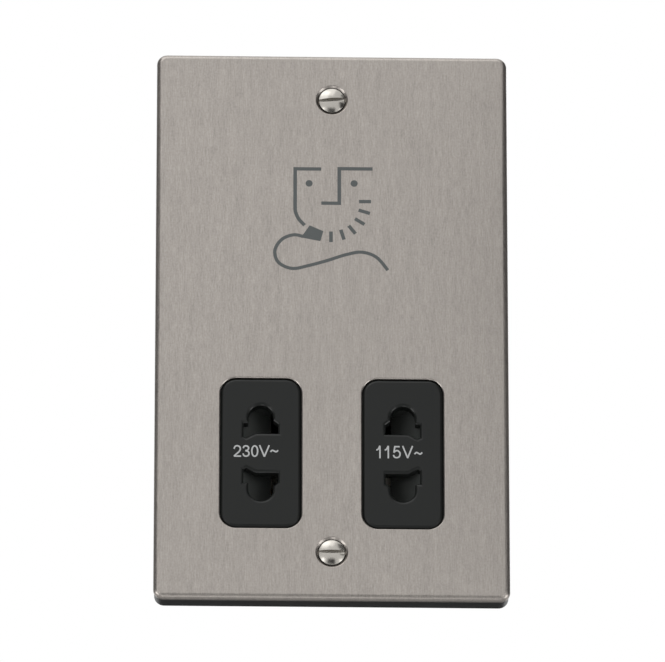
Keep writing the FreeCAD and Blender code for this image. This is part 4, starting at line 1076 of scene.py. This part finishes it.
@dataclass
class FixingScrews:
    """Two raised countersunk screws with slots and rolled threads.

    Args:
        rim_y: Depth of the dome's rim.
        radius: Radius of the head.
        crown: Rise of the dome over the rim.
        dome: Rings in the dome.
        land: Height of the upright edge below the rim.
        edge: Softening of the head's edges.
        slot_width: Width of the slot.
        slot_depth: Depth of the slot below the dome's top.
        slot_edge: Rounding of the slot's floor.
        shank: Radius of the plain shank.
        neck: Radius at which the shank is closed inside the thread.
        thread_y: Depth at which the thread starts.
        root: Radius at the thread's root.
        crest: Radius at the thread's crest.
        pitch: Pitch of the thread.
        steps: Faces round one turn of the thread.
        tip_y: Depth of the tip.
        tip_length: Length of the plain tip.
        tip_radius: Radius of the plain tip.
        chamfer: Chamfer of the tip.
        sides: Faces round the head.
        upper_turn: How far the upper screw is turned about its axis, in degrees.
    """

    rim_y: float = -6.12
    radius: float = 3.25
    crown: float = 0.66
    dome: int = 10
    land: float = 0.34
    edge: float = 0.07
    slot_width: float = 0.95
    slot_depth: float = 1.15
    slot_edge: float = 0.08
    shank: float = 1.55
    neck: float = 1.26
    thread_y: float = 0.0
    root: float = 1.36
    crest: float = 1.74
    pitch: float = 0.6
    steps: int = 28
    tip_y: float = 19.15
    tip_length: float = 1.6
    tip_radius: float = 1.48
    chamfer: float = 0.4
    sides: int = 96
    upper_turn: float = -5.0

    def _head(self) -> Work:
        """Draw dome, countersink and shank out from the rim, and cut the slot.

        Returns:
            The head with its shank, about the Y axis.
        """
        head = Work.start("screw_head", bpy.ops.mesh.primitive_circle_add, vertices=self.sides,
                          radius=self.radius * MM, location=(0.0, self.rim_y * MM, 0.0), rotation=ABOUT_Y)
        sphere = (self.radius ** 2 + self.crown ** 2) / (2 * self.crown)
        spread = math.asin(self.radius / sphere)
        middle = self.rim_y - self.crown + sphere
        turns = [spread * step / self.dome for step in range(self.dome, -1, -1)]
        head.edit(Part.EDGES, True)
        head.rings([(sphere * math.sin(turn), middle - sphere * math.cos(turn)) for turn in turns])
        head.choose(at_depth(self.rim_y))
        seat = self.rim_y + self.land
        head.rings([(self.radius, self.rim_y), (self.radius, seat),
                    (self.shank, seat + self.radius - self.shank), (self.shank, self.thread_y),
                    (self.neck, self.thread_y)])
        bpy.ops.mesh.fill()
        head.settle()
        head.cut(self._slot())
        head.soften(self.edge, angle=28.0)
        return head

    def _slot(self) -> Work:
        """Make the bar that cuts the slot, and round the long edges of its floor.

        Returns:
            The bar.
        """
        top = self.rim_y - self.crown
        floor = top + self.slot_depth
        bar = Work.slot_bar(self.radius, top - 1.0, floor, self.slot_width)
        bar.edit(Part.EDGES)
        bar.choose(lambda a, b: at_depth(floor)(a, b) and abs(a.x - b.x) > NEAR * MM)
        bpy.ops.mesh.bevel(offset=self.slot_edge * MM, segments=2)
        bar.settle()
        return bar

    def _thread(self) -> Work:
        """Screw a small profile along Y.

        Returns:
            The rolled thread, closed at both ends.
        """
        profile = ((self.root, 0.0), (self.crest, 0.4), (self.crest, 0.55), (self.root, 0.95),
                   (self.root, 1.0))
        thread = Work.start("screw_thread", bpy.ops.mesh.primitive_circle_add, vertices=len(profile))
        for vertex, (radius, along) in zip(thread.piece.data.vertices, profile):
            vertex.co = (radius * MM, (self.thread_y + (along - 1.0) * self.pitch) * MM, 0.0)
        thread.edit(Part.EDGES)
        thread.choose(lambda a, b: abs(a.y - b.y) > self.pitch * 0.9 * MM)
        bpy.ops.mesh.delete(type="EDGE_FACE")
        turns = int((self.tip_y - self.pitch - self.thread_y) / self.pitch) + 1
        thread.screw("Y", self.pitch, turns, self.steps)
        thread.settle(angle=50.0)
        return thread

    def _tip(self) -> Work:
        """Make the plain end of the thread.

        Returns:
            The chamfered tip.
        """
        tip = Work.start("screw_tip", bpy.ops.mesh.primitive_cylinder_add, vertices=32,
                         radius=self.tip_radius * MM, depth=self.tip_length * MM,
                         location=(0.0, (self.tip_y - self.tip_length / 2) * MM, 0.0), rotation=ABOUT_Y)
        tip.edit(Part.EDGES)
        tip.choose(at_depth(self.tip_y))
        bpy.ops.mesh.bevel(offset=self.chamfer * MM, segments=2)
        tip.settle()
        return tip

    def build(self) -> None:
        """Build one screw, copy it to both places and dress the copies."""
        screw = Work.joined([self._head(), self._thread(), self._tip()], "fixing_screw")
        for place, node, z, turn in (("lower", "fixing_screw_bottom", -FIXING_Z, 0.0),
                                     ("upper", "fixing_screw_top", FIXING_Z, self.upper_turn)):
            screw.copied("fixing_screw_%s" % place, 0.0, z, turn).dress(NICKEL, node)
        bpy.data.objects.remove(screw.piece)


@dataclass
class VoltageMarks:
    """Printed voltage under each outlet's upper aperture.

    Args:
        weight: Width of the letters' lines.
        words: Name of each word and its letters: letter, left, right, lowest and highest edge.
    """

    weight: float = 0.37
    words: tuple[tuple[str, tuple[tuple[str, float, float, float, float], ...]], ...] = (
        ("print_230", (("2", -24.18, -22.18, -35.5, -32.39), ("3", -21.94, -20.08, -35.5, -32.39),
                       ("0", -19.79, -18.01, -35.5, -32.39), ("V", -17.86, -15.22, -35.5, -32.39),
                       ("~", -15.15, -13.08, -34.3, -33.5))),
        ("print_115", (("1", 10.71, 11.96, -35.53, -32.26), ("1", 12.78, 14.01, -35.53, -32.26),
                       ("5", 14.91, 16.88, -35.53, -32.26), ("V", 17.2, 19.89, -35.53, -32.26),
                       ("~", 20.14, 22.21, -34.56, -33.73))))

    def build(self) -> None:
        """Build and dress both words."""
        for name, letters in self.words:
            shapes = [Glyph(*letter, self.weight).outlines() for letter in letters]
            Relief(name, shapes, OUTLET_FACE_Y, PRINT_DEPTH, PRINT_DEPTH).build().dress(MARK_INK)


@dataclass
class ShaverSign:
    """Printed sign of a face and a shaver with its flex.

    Args:
        strokes: Lines of the sign.
        dots: Centres of the two eyes.
        dot_radius: Radius of an eye.
        dot_sides: Corners of an eye.
    """

    strokes: tuple[Stroke, ...] = (
        Stroke(((-2.65, 41.54), (-9.11, 41.54), (-9.11, 33.0), (-9.11, 31.4), (-9.0, 29.9), (-8.2, 28.0),
                (-6.76, 26.34)), ((2, 6),)),
        Stroke(((10.08, 41.68), (1.82, 41.68), (1.82, 32.33), (-2.64, 32.33))),
        Stroke(((6.72, 32.84), (9.68, 32.87))),
        Stroke(((6.6, 30.55), (9.39, 29.66))),
        Stroke(((5.71, 28.22), (8.05, 26.69))),
        Stroke(((4.15, 26.33), (5.82, 24.17))),
        Stroke(((2.19, 25.22), (2.99, 22.57))),
        Stroke(((-0.23, 24.71), (-0.23, 21.86))),
        Stroke(((-7.3, 23.36), (-9.55, 23.72), (-12.4, 22.45), (-14.09, 19.49), (-13.2, 16.3), (-9.85, 14.7),
                (-5.8, 15.5), (-0.97, 16.97), (3.4, 18.5), (7.37, 19.23), (11.0, 17.9), (13.81, 14.46)),
               ((0, 11),), 0.85,
               ((-6.95, 24.1), (-5.5, 26.32), (-2.12, 24.78), (-2.86, 22.09), (-7.2, 22.95))),
    )
    dots: tuple[Point, ...] = ((-5.65, 37.64), (5.5, 37.71))
    dot_radius: float = 0.88
    dot_sides: int = 40

    def build(self) -> None:
        """Build and dress the sign."""
        shapes = [stroke.outlines() for stroke in self.strokes]
        turns = [math.tau * step / self.dot_sides for step in range(self.dot_sides)]
        shapes += [[[(x + self.dot_radius * math.cos(turn), z + self.dot_radius * math.sin(turn))
                     for turn in turns]] for x, z in self.dots]
        Relief("shaver_sign", shapes, FACE_Y, PRINT_DEPTH / 2, PRINT_DEPTH).build().dress(SIGN_INK)


# Back of the socket


@dataclass
class RearHousing:
    """Moulded back with raised terminal marks and a parting line.

    Args:
        edge: Softening of its edges.
        mark_y: Depth of the face that carries the marks.
        relief: How far the marks stand out.
        mark_edge: Softening of the marks' edges, and how far they reach into the face.
        letters: Name of each letter's piece and the letter.
        earth: Lines of the earth sign.
        half_width: Half the housing's width.
        half_height: Half the housing's height.
        corner: Radius of its corners.
        parting_y: Depth of the parting line.
        bead: Width and twice the height of the parting line.
    """

    edge: float = 0.22
    mark_y: float = 31.4
    relief: float = 0.45
    mark_edge: float = 0.1
    letters: tuple[tuple[str, Glyph], ...] = (
        ("mark_line", Glyph("L", 18.5, 21.7, -38.4, -33.4, 0.8)),
        ("mark_neutral", Glyph("N", -21.9, -18.1, -38.4, -33.4, 0.8)))
    earth: tuple[Stroke, ...] = (
        Stroke(((0.0, -35.2), (0.0, -33.3)), (), 0.7,
               ((2.4, -35.2), (2.4, -35.9), (-2.4, -35.9), (-2.4, -35.2))),
        Stroke(((-1.6, -36.85), (1.6, -36.85)), (), 0.7), Stroke(((-0.8, -38.05), (0.8, -38.05)), (), 0.7))
    half_width: float = 32.0
    half_height: float = 54.0
    corner: float = 3.0
    parting_y: float = 3.2
    bead: float = 0.24

    def build(self) -> None:
        """Build and dress the housing, its marks and its parting line."""
        NodeCopy("rear_housing", "housing_shell", HOUSING, self.edge, angle=32.0).build()
        marks = [(name, [glyph.outlines()]) for name, glyph in self.letters]
        marks.append(("mark_earth", [stroke.outlines() for stroke in self.earth]))
        for name, shapes in marks:
            mark = Relief(name, shapes, self.mark_y, self.relief, self.mark_edge, True).build()
            mark.soften(self.mark_edge, angle=40.0)
            mark.dress(HOUSING)
        self._parting_line().dress(HOUSING)

    def _parting_line(self) -> Work:
        """Make the fine bead where the two halves of the mould meet.

        Returns:
            The bead as a closed loop.
        """
        reach = self.bead / 2
        bead = Work.start("housing_parting_line", bpy.ops.mesh.primitive_plane_add,
                          ((self.half_width + reach) * MM, (self.half_height + reach) * MM, 1.0), size=2.0,
                          location=(0.0, (self.parting_y - reach) * MM, 0.0), rotation=ABOUT_Y)
        bead.edit(Part.POINTS, True)
        bpy.ops.mesh.bevel(offset=(self.corner + reach) * MM, segments=8, affect="VERTICES")
        bead.edit(Part.FACES, True)
        bpy.ops.mesh.inset(thickness=2 * self.bead * MM)
        bpy.ops.mesh.delete(type="FACE")
        bpy.ops.mesh.select_all(action="SELECT")
        bpy.ops.mesh.extrude_region_move(TRANSFORM_OT_translate={"value": (0.0, self.bead * MM, 0.0)})
        bead.settle()
        bead.soften(reach * 0.8, angle=40.0)
        return bead


@dataclass
class CheeseScrews:
    """Like slotted screws that face the rear, modelled once and copied to their places.

    Args:
        node: CAD node that they replace.
        name: Name of the piece.
        finish: Finish of the screws.
        places: Centres along X and Z.
        radius: Radius of the thread.
        head: Radius of the head.
        height: Height of the head.
        seat: Depth of the head's underside.
        tip: Depth of the tip.
        slot: Width of the slot.
        pitch: Pitch of the thread's grooves.
        taper: Length of the narrowed tip.
        plain: Length without grooves, with the tip's.
    """

    node: str
    name: str
    finish: Finish
    places: tuple[Point, ...]
    radius: float
    head: float
    height: float
    seat: float
    tip: float
    slot: float = 0.7
    pitch: float = 0.5
    taper: float = 0.6
    plain: float = 1.4

    def _screw(self) -> Work:
        """Draw one screw out from its tip, and cut its slot.

        Returns:
            The screw, about the Y axis.
        """
        rings = [(self.radius * 0.6, self.tip), (self.radius, self.tip + self.taper)]
        for groove in range(int((self.seat - self.tip - self.plain) / self.pitch)):
            y = self.tip + self.taper + self.pitch * groove
            rings += [(self.radius * 0.8, y + self.pitch / 2), (self.radius, y + self.pitch)]
        end = self.seat + self.height
        rings += [(self.radius, self.seat), (self.head, self.seat),
                  (self.head, self.seat + self.height * 0.75), (self.head * 0.93, end)]
        screw = Work.start("cheese_screw", bpy.ops.mesh.primitive_circle_add, vertices=32,
                           radius=rings[0][0] * MM, fill_type="NGON",
                           location=(0.0, self.tip * MM, 0.0), rotation=ABOUT_Y)
        screw.edit(Part.FACES, True)
        screw.rings(rings)
        screw.settle()
        screw.cut(Work.slot_bar(self.head, end - self.height / 2, end + 1.0, self.slot))
        screw.settle()
        return screw

    def build(self) -> None:
        """Build, copy, join and dress the screws."""
        first = self._screw()
        copies = [first.copied("%s_%d" % (self.name, i), x, z) for i, (x, z) in enumerate(self.places)]
        bpy.data.objects.remove(first.piece)
        Work.joined(copies, self.name).dress(self.finish, self.node)


@dataclass
class ShutterSpring:
    """Round-wire compression spring beside the interlock slide.

    Args:
        side: Side of the socket.
        inner: Distance of its inner end from the middle.
        outer: Distance of its outer end.
        coil: Radius at the middle of the wire.
        wire: Diameter of the wire.
        turns: Number of turns.
        axis_y: Depth of its axis.
        steps: Faces round one turn.
    """

    side: Side
    inner: float = 29.65
    outer: float = 40.0
    coil: float = 1.1
    wire: float = 0.3
    turns: int = 7
    axis_y: float = -2.05
    steps: int = 24

    def build(self) -> None:
        """Build and dress the spring on no body, with its place moved into its mesh."""
        word, factor = self.side.name.lower(), self.side.value
        spring = Work.start("%s_spring" % word, bpy.ops.mesh.primitive_circle_add, vertices=8,
                            radius=self.wire / 2 * MM, location=(0.0, self.coil * MM, 0.0))
        spring.screw("X", (self.outer - self.inner) / self.turns, self.turns, self.steps)
        start = min(v.co.x for v in spring.piece.data.vertices)
        height = (self.axis_y * MM, OUTLET_Z * MM)
        spring.piece.scale = (float(factor), 1.0, 1.0)
        spring.piece.location = (factor * (self.inner * MM - start), *height)
        spring.apply()
        spring.settle(angle=60.0, merge=MERGE / 10)
        spring.dress(SPRING, "shutter_spring_%s" % word, None)
        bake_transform(spring.piece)


# Inside of the socket


@dataclass
class SwitchLeaf:
    """Spring leaf that the interlock slide's cam lifts.

    Args:
        level: Height of its fixed end; not used.
        keep: Share of its drop below that height that is left when the cam has lifted it; not used.
        edge: Softening of its edges.
    """

    level: float = -12.0
    keep: float = 0.71
    edge: float = 0.06

    def build(self) -> None:
        """Build and dress the leaf, and give it a mesh of its own."""
        leaf = NodeCopy("switch_blade", "switch_leaf", BRONZE, self.edge).build()
        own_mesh(leaf.piece)


@dataclass
class InnerPieces:
    """Mechanism, contacts, transformer and wiring that the housing covers.

    Args:
        copies: Nodes that are cleaned and given softened edges.
        leads: Node, name and sleeve of each lead.
        lead_angle: Edges of the leads sharper than this stay sharp, in degrees.
        plain: Nodes that keep their CAD mesh and only get a finish.
    """

    copies: tuple[NodeCopy, ...] = (
        NodeCopy("shutter", "interlock_slide", SLIDE, 0.1, 35.0, Body.SHUTTER),
        NodeCopy("contact_block", "cream_contact_block", CREAM, 0.2),
        NodeCopy("transformer_core", "lamination_stack", STACK, 0.15),
        NodeCopy("coil_former", "nylon_bobbin", NYLON, 0.15),
        NodeCopy("mains_winding", "taped_winding", TAPE, 0.5),
        NodeCopy("output_winding", "copper_winding", COPPER, 0.5),
        NodeCopy("thermal_cutout", "sleeved_cutout", SLEEVE, 0.3),
        NodeCopy("terminal_live", "live_terminal_block", BRASS_BAR, 0.12),
        NodeCopy("terminal_earth", "earth_terminal_block", BRASS_BAR, 0.12),
        NodeCopy("terminal_neutral", "neutral_terminal_block", BRASS_BAR, 0.12),
    )
    leads: tuple[tuple[str, str, Sleeve], ...] = (
        ("lead_live", "brown_lead", Sleeve.BROWN), ("lead_switch", "brown_switch_lead", Sleeve.BROWN),
        ("lead_neutral", "blue_lead", Sleeve.BLUE), ("lead_output_230", "yellow_lead", Sleeve.YELLOW),
        ("lead_output_115", "red_lead", Sleeve.RED), ("lead_output_common", "black_lead", Sleeve.BLACK))
    lead_angle: float = 65.0
    plain: tuple[tuple[str, Finish], ...] = (
        ("contact_common", BRASS_STRIP), ("contact_230", BRASS_STRIP), ("contact_115", BRASS_STRIP),
        ("earth_strip", TINNED), ("switch_contact", BRONZE))

    def build(self) -> None:
        """Build and dress what lies inside."""
        leads = [NodeCopy(node, name, WIRES[sleeve], angle=self.lead_angle)
                 for node, name, sleeve in self.leads]
        for copy in (*self.copies, *leads):
            copy.build()
        for node, finish in self.plain:
            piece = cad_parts[node]
            for slot in piece.material_slots:
                slot.material = finish.material()
            LOG.info("%s: CAD node with %s", node, finish.name)


# Studio


@dataclass(frozen=True)
class Lamp:
    """Soft square lamp that faces the socket, in metres and watts.

    Args:
        name: Name of the lamp.
        place: Where it hangs.
        size: Length of a side.
        power: Its power.
        mirrored: True if the lamp shows in reflections.
    """

    name: str
    place: Triple
    size: float
    power: float
    mirrored: bool = True

    def build(self) -> None:
        """Hang the lamp."""
        data = bpy.data.lights.new(self.name, "AREA")
        data.shape = "SQUARE"
        data.size = self.size
        data.energy = self.power
        lamp = linked(self.name, data)
        lamp.visible_glossy = self.mirrored
        lamp.location = self.place
        lamp.rotation_euler = (-Vector(self.place)).to_track_quat("-Z", "Y").to_euler()


@dataclass(frozen=True)
class Card:
    """Plain card that faces the socket and only shows in reflections, in metres.

    Args:
        name: Name of the card.
        place: Where its middle stands.
        size: Width and height.
        grey: How light it is.
    """

    name: str
    place: Triple
    size: tuple[float, float]
    grey: float

    def build(self) -> None:
        """Stand the card up."""
        facing = (-Vector(self.place)).to_track_quat("Z", "Y").to_euler()
        card = Work.start(self.name, bpy.ops.mesh.primitive_plane_add, (*self.size, 1.0), size=1.0,
                          location=self.place, rotation=facing).piece
        card.data.materials.append(StudioWall("%s_grey" % self.name, "", (self.grey,) * 3).material())
        for ray in ("camera", "diffuse", "shadow", "transmission"):
            setattr(card, "visible_%s" % ray, False)


@dataclass
class Studio:
    """Camera, light and surroundings.

    Args:
        azimuth: Turn of the camera about the socket, in degrees.
        elevation: Rise of the camera, in degrees.
        distance: Distance of the camera, in metres.
        target: Point that it looks at, in metres.
        lens: Focal length for a 36 mm wide sensor, in mm.
        floor_z: Height of the floor, in metres.
        ambient: Brightness of the surroundings in diffuse light.
        lamps: Lamps of the studio.
        cards: Cards that darken reflections.
    """

    azimuth: float = -1.39
    elevation: float = -22.67
    distance: float = 2.393
    target: Triple = (0.0003, 0.0, 0.00078)
    lens: float = 524.8
    floor_z: float = -3.0
    ambient: float = 0.55
    lamps: tuple[Lamp, ...] = (
        Lamp("key_lamp", (-0.35, -1.05, 2.1), 1.7, 7.5),
        Lamp("fill_lamp", (1.3, -1.7, 0.3), 1.0, 1.5, False),
        Lamp("rear_lamp", (0.5, 1.9, 1.2), 1.0, 5.0),
        Lamp("low_lamp", (-0.3, -0.9, -2.0), 0.6, 3.0),
        Lamp("upper_lamp", (-0.3, -0.5, 0.6), 0.45, 0.5),
        Lamp("left_box", (-1.3, -0.42, -0.72), 0.7, 5.0),
        Lamp("right_box", (1.3, -0.42, -0.72), 0.7, 5.0),
        Lamp("left_spot", (-0.95, -1.62, -0.25), 0.4, 1.2),
        Lamp("right_spot", (1.0, -1.58, -0.3), 0.3, 0.7))
    cards: tuple[Card, ...] = (
        Card("left_card", (-1.2, 0.1, 0.5), (2.4, 1.8), 0.3),
        Card("right_card", (1.2, 0.0, 0.5), (2.4, 1.8), 0.16),
        Card("left_flag", (-0.115, -0.1, 0.075), (0.05, 0.055), 0.06),
        Card("right_flag", (0.1, -0.11, 0.072), (0.085, 0.06), 0.05),
        Card("lower_flag", (0.095, -0.12, 0.0), (0.05, 0.06), 0.06),
        Card("rear_card", (0.0, 1.5, -0.63), (1.6, 0.7), 0.03),
        Card("camera_card", (-0.03, -2.5, -0.6), (1.2, 0.8), 0.03))

    def build(self) -> None:
        """Build the whole studio."""
        self._camera()
        self._world()
        self._floor()
        for stand in (*self.lamps, *self.cards):
            stand.build()
        bpy.context.scene.view_settings.view_transform = "Standard"
        LOG.info("studio: %d lamps, %d cards", len(self.lamps), len(self.cards))

    def _camera(self) -> None:
        """Put the camera where the photograph was taken."""
        data = bpy.data.cameras.new("camera")
        data.sensor_width = 36.0
        data.sensor_fit = "HORIZONTAL"
        data.lens = self.lens
        data.clip_end = 100.0
        data.dof.use_dof = False
        camera = linked("camera", data)
        turn = math.radians(self.azimuth)
        rise = math.radians(self.elevation)
        back = Vector((math.sin(turn) * math.cos(rise), -math.cos(turn) * math.cos(rise), math.sin(rise)))
        camera.location = Vector(self.target) + back * self.distance
        camera.rotation_euler = (-back).to_track_quat("-Z", "Y").to_euler()
        bpy.context.scene.camera = camera

    def _world(self) -> None:
        """White surroundings for what is seen, mirrored or seen through, softer for diffuse light."""
        world = bpy.data.worlds.new("studio_world")
        bpy.context.scene.world = world
        world.use_nodes = True
        graph = Graph(world.node_tree)
        seen, mirrored, through = (graph.node("ShaderNodeLightPath", output=ray)
                                   for ray in ("Is Camera Ray", "Is Glossy Ray", "Is Transmission Ray"))
        white = seen.at_least(mirrored).at_least(through)
        shade = graph.node("ShaderNodeBackground", {}, {
            "Color": (1.0, 1.0, 1.0, 1.0), "Strength": white * (1.0 - self.ambient) + self.ambient})
        graph.node("ShaderNodeOutputWorld", {}, {"Surface": shade})

    def _floor(self) -> None:
        """Lay a plain pale floor far below the wall."""
        floor = Work.start("studio_floor", bpy.ops.mesh.primitive_plane_add, size=12.0,
                           location=(0.0, 0.0, self.floor_z)).piece
        floor.data.materials.append(PALE.material())


def screw_sets() -> tuple[CheeseScrews, ...]:
    """The four sets of small screws.

    Returns:
        One builder for each CAD node of screws.
    """
    corners = tuple((side * x, z) for side in (-1, 1) for x, z in ((27.6, 2.0), (27.6, 48.2)))
    core = tuple((side * 18.0, z) for side in (-1, 1) for z in (0.0, 45.0))
    ears = tuple((side * 25.0, -13.5) for side in (-1, 1))
    clamps = tuple((x, -46.55) for x in (-20.0, 0.0, 20.0))
    return (
        CheeseScrews("housing_screws", "housing_screw_set", ZINC, corners, 1.5, 2.7, 2.0, 5.5, -1.5),
        CheeseScrews("core_bolts", "core_bolt_set", ZINC, core, 1.5, 2.7, 2.0, 29.6, 0.6),
        CheeseScrews("contact_block_screws", "ear_screw_set", ZINC, ears, 1.5, 2.7, 2.0, 8.0, 1.0),
        CheeseScrews("terminal_screws", "clamp_screw_set", PASSIVATED, clamps, 1.7, 2.6, 1.5, 29.6, 27.2),
    )


def main() -> None:
    """Build the studio and the dressed socket."""
    logging.basicConfig(level=logging.INFO, format="%(name)s %(message)s")
    Studio().build()
    CoverPlate().build()
    OutletFront().build()
    FixingScrews().build()
    VoltageMarks().build()
    ShaverSign().build()
    RearHousing().build()
    for screws in screw_sets():
        screws.build()
    for side in Side:
        ShutterSpring(side).build()
    SwitchLeaf().build()
    InnerPieces().build()


if __name__ == "__main__":
    main()
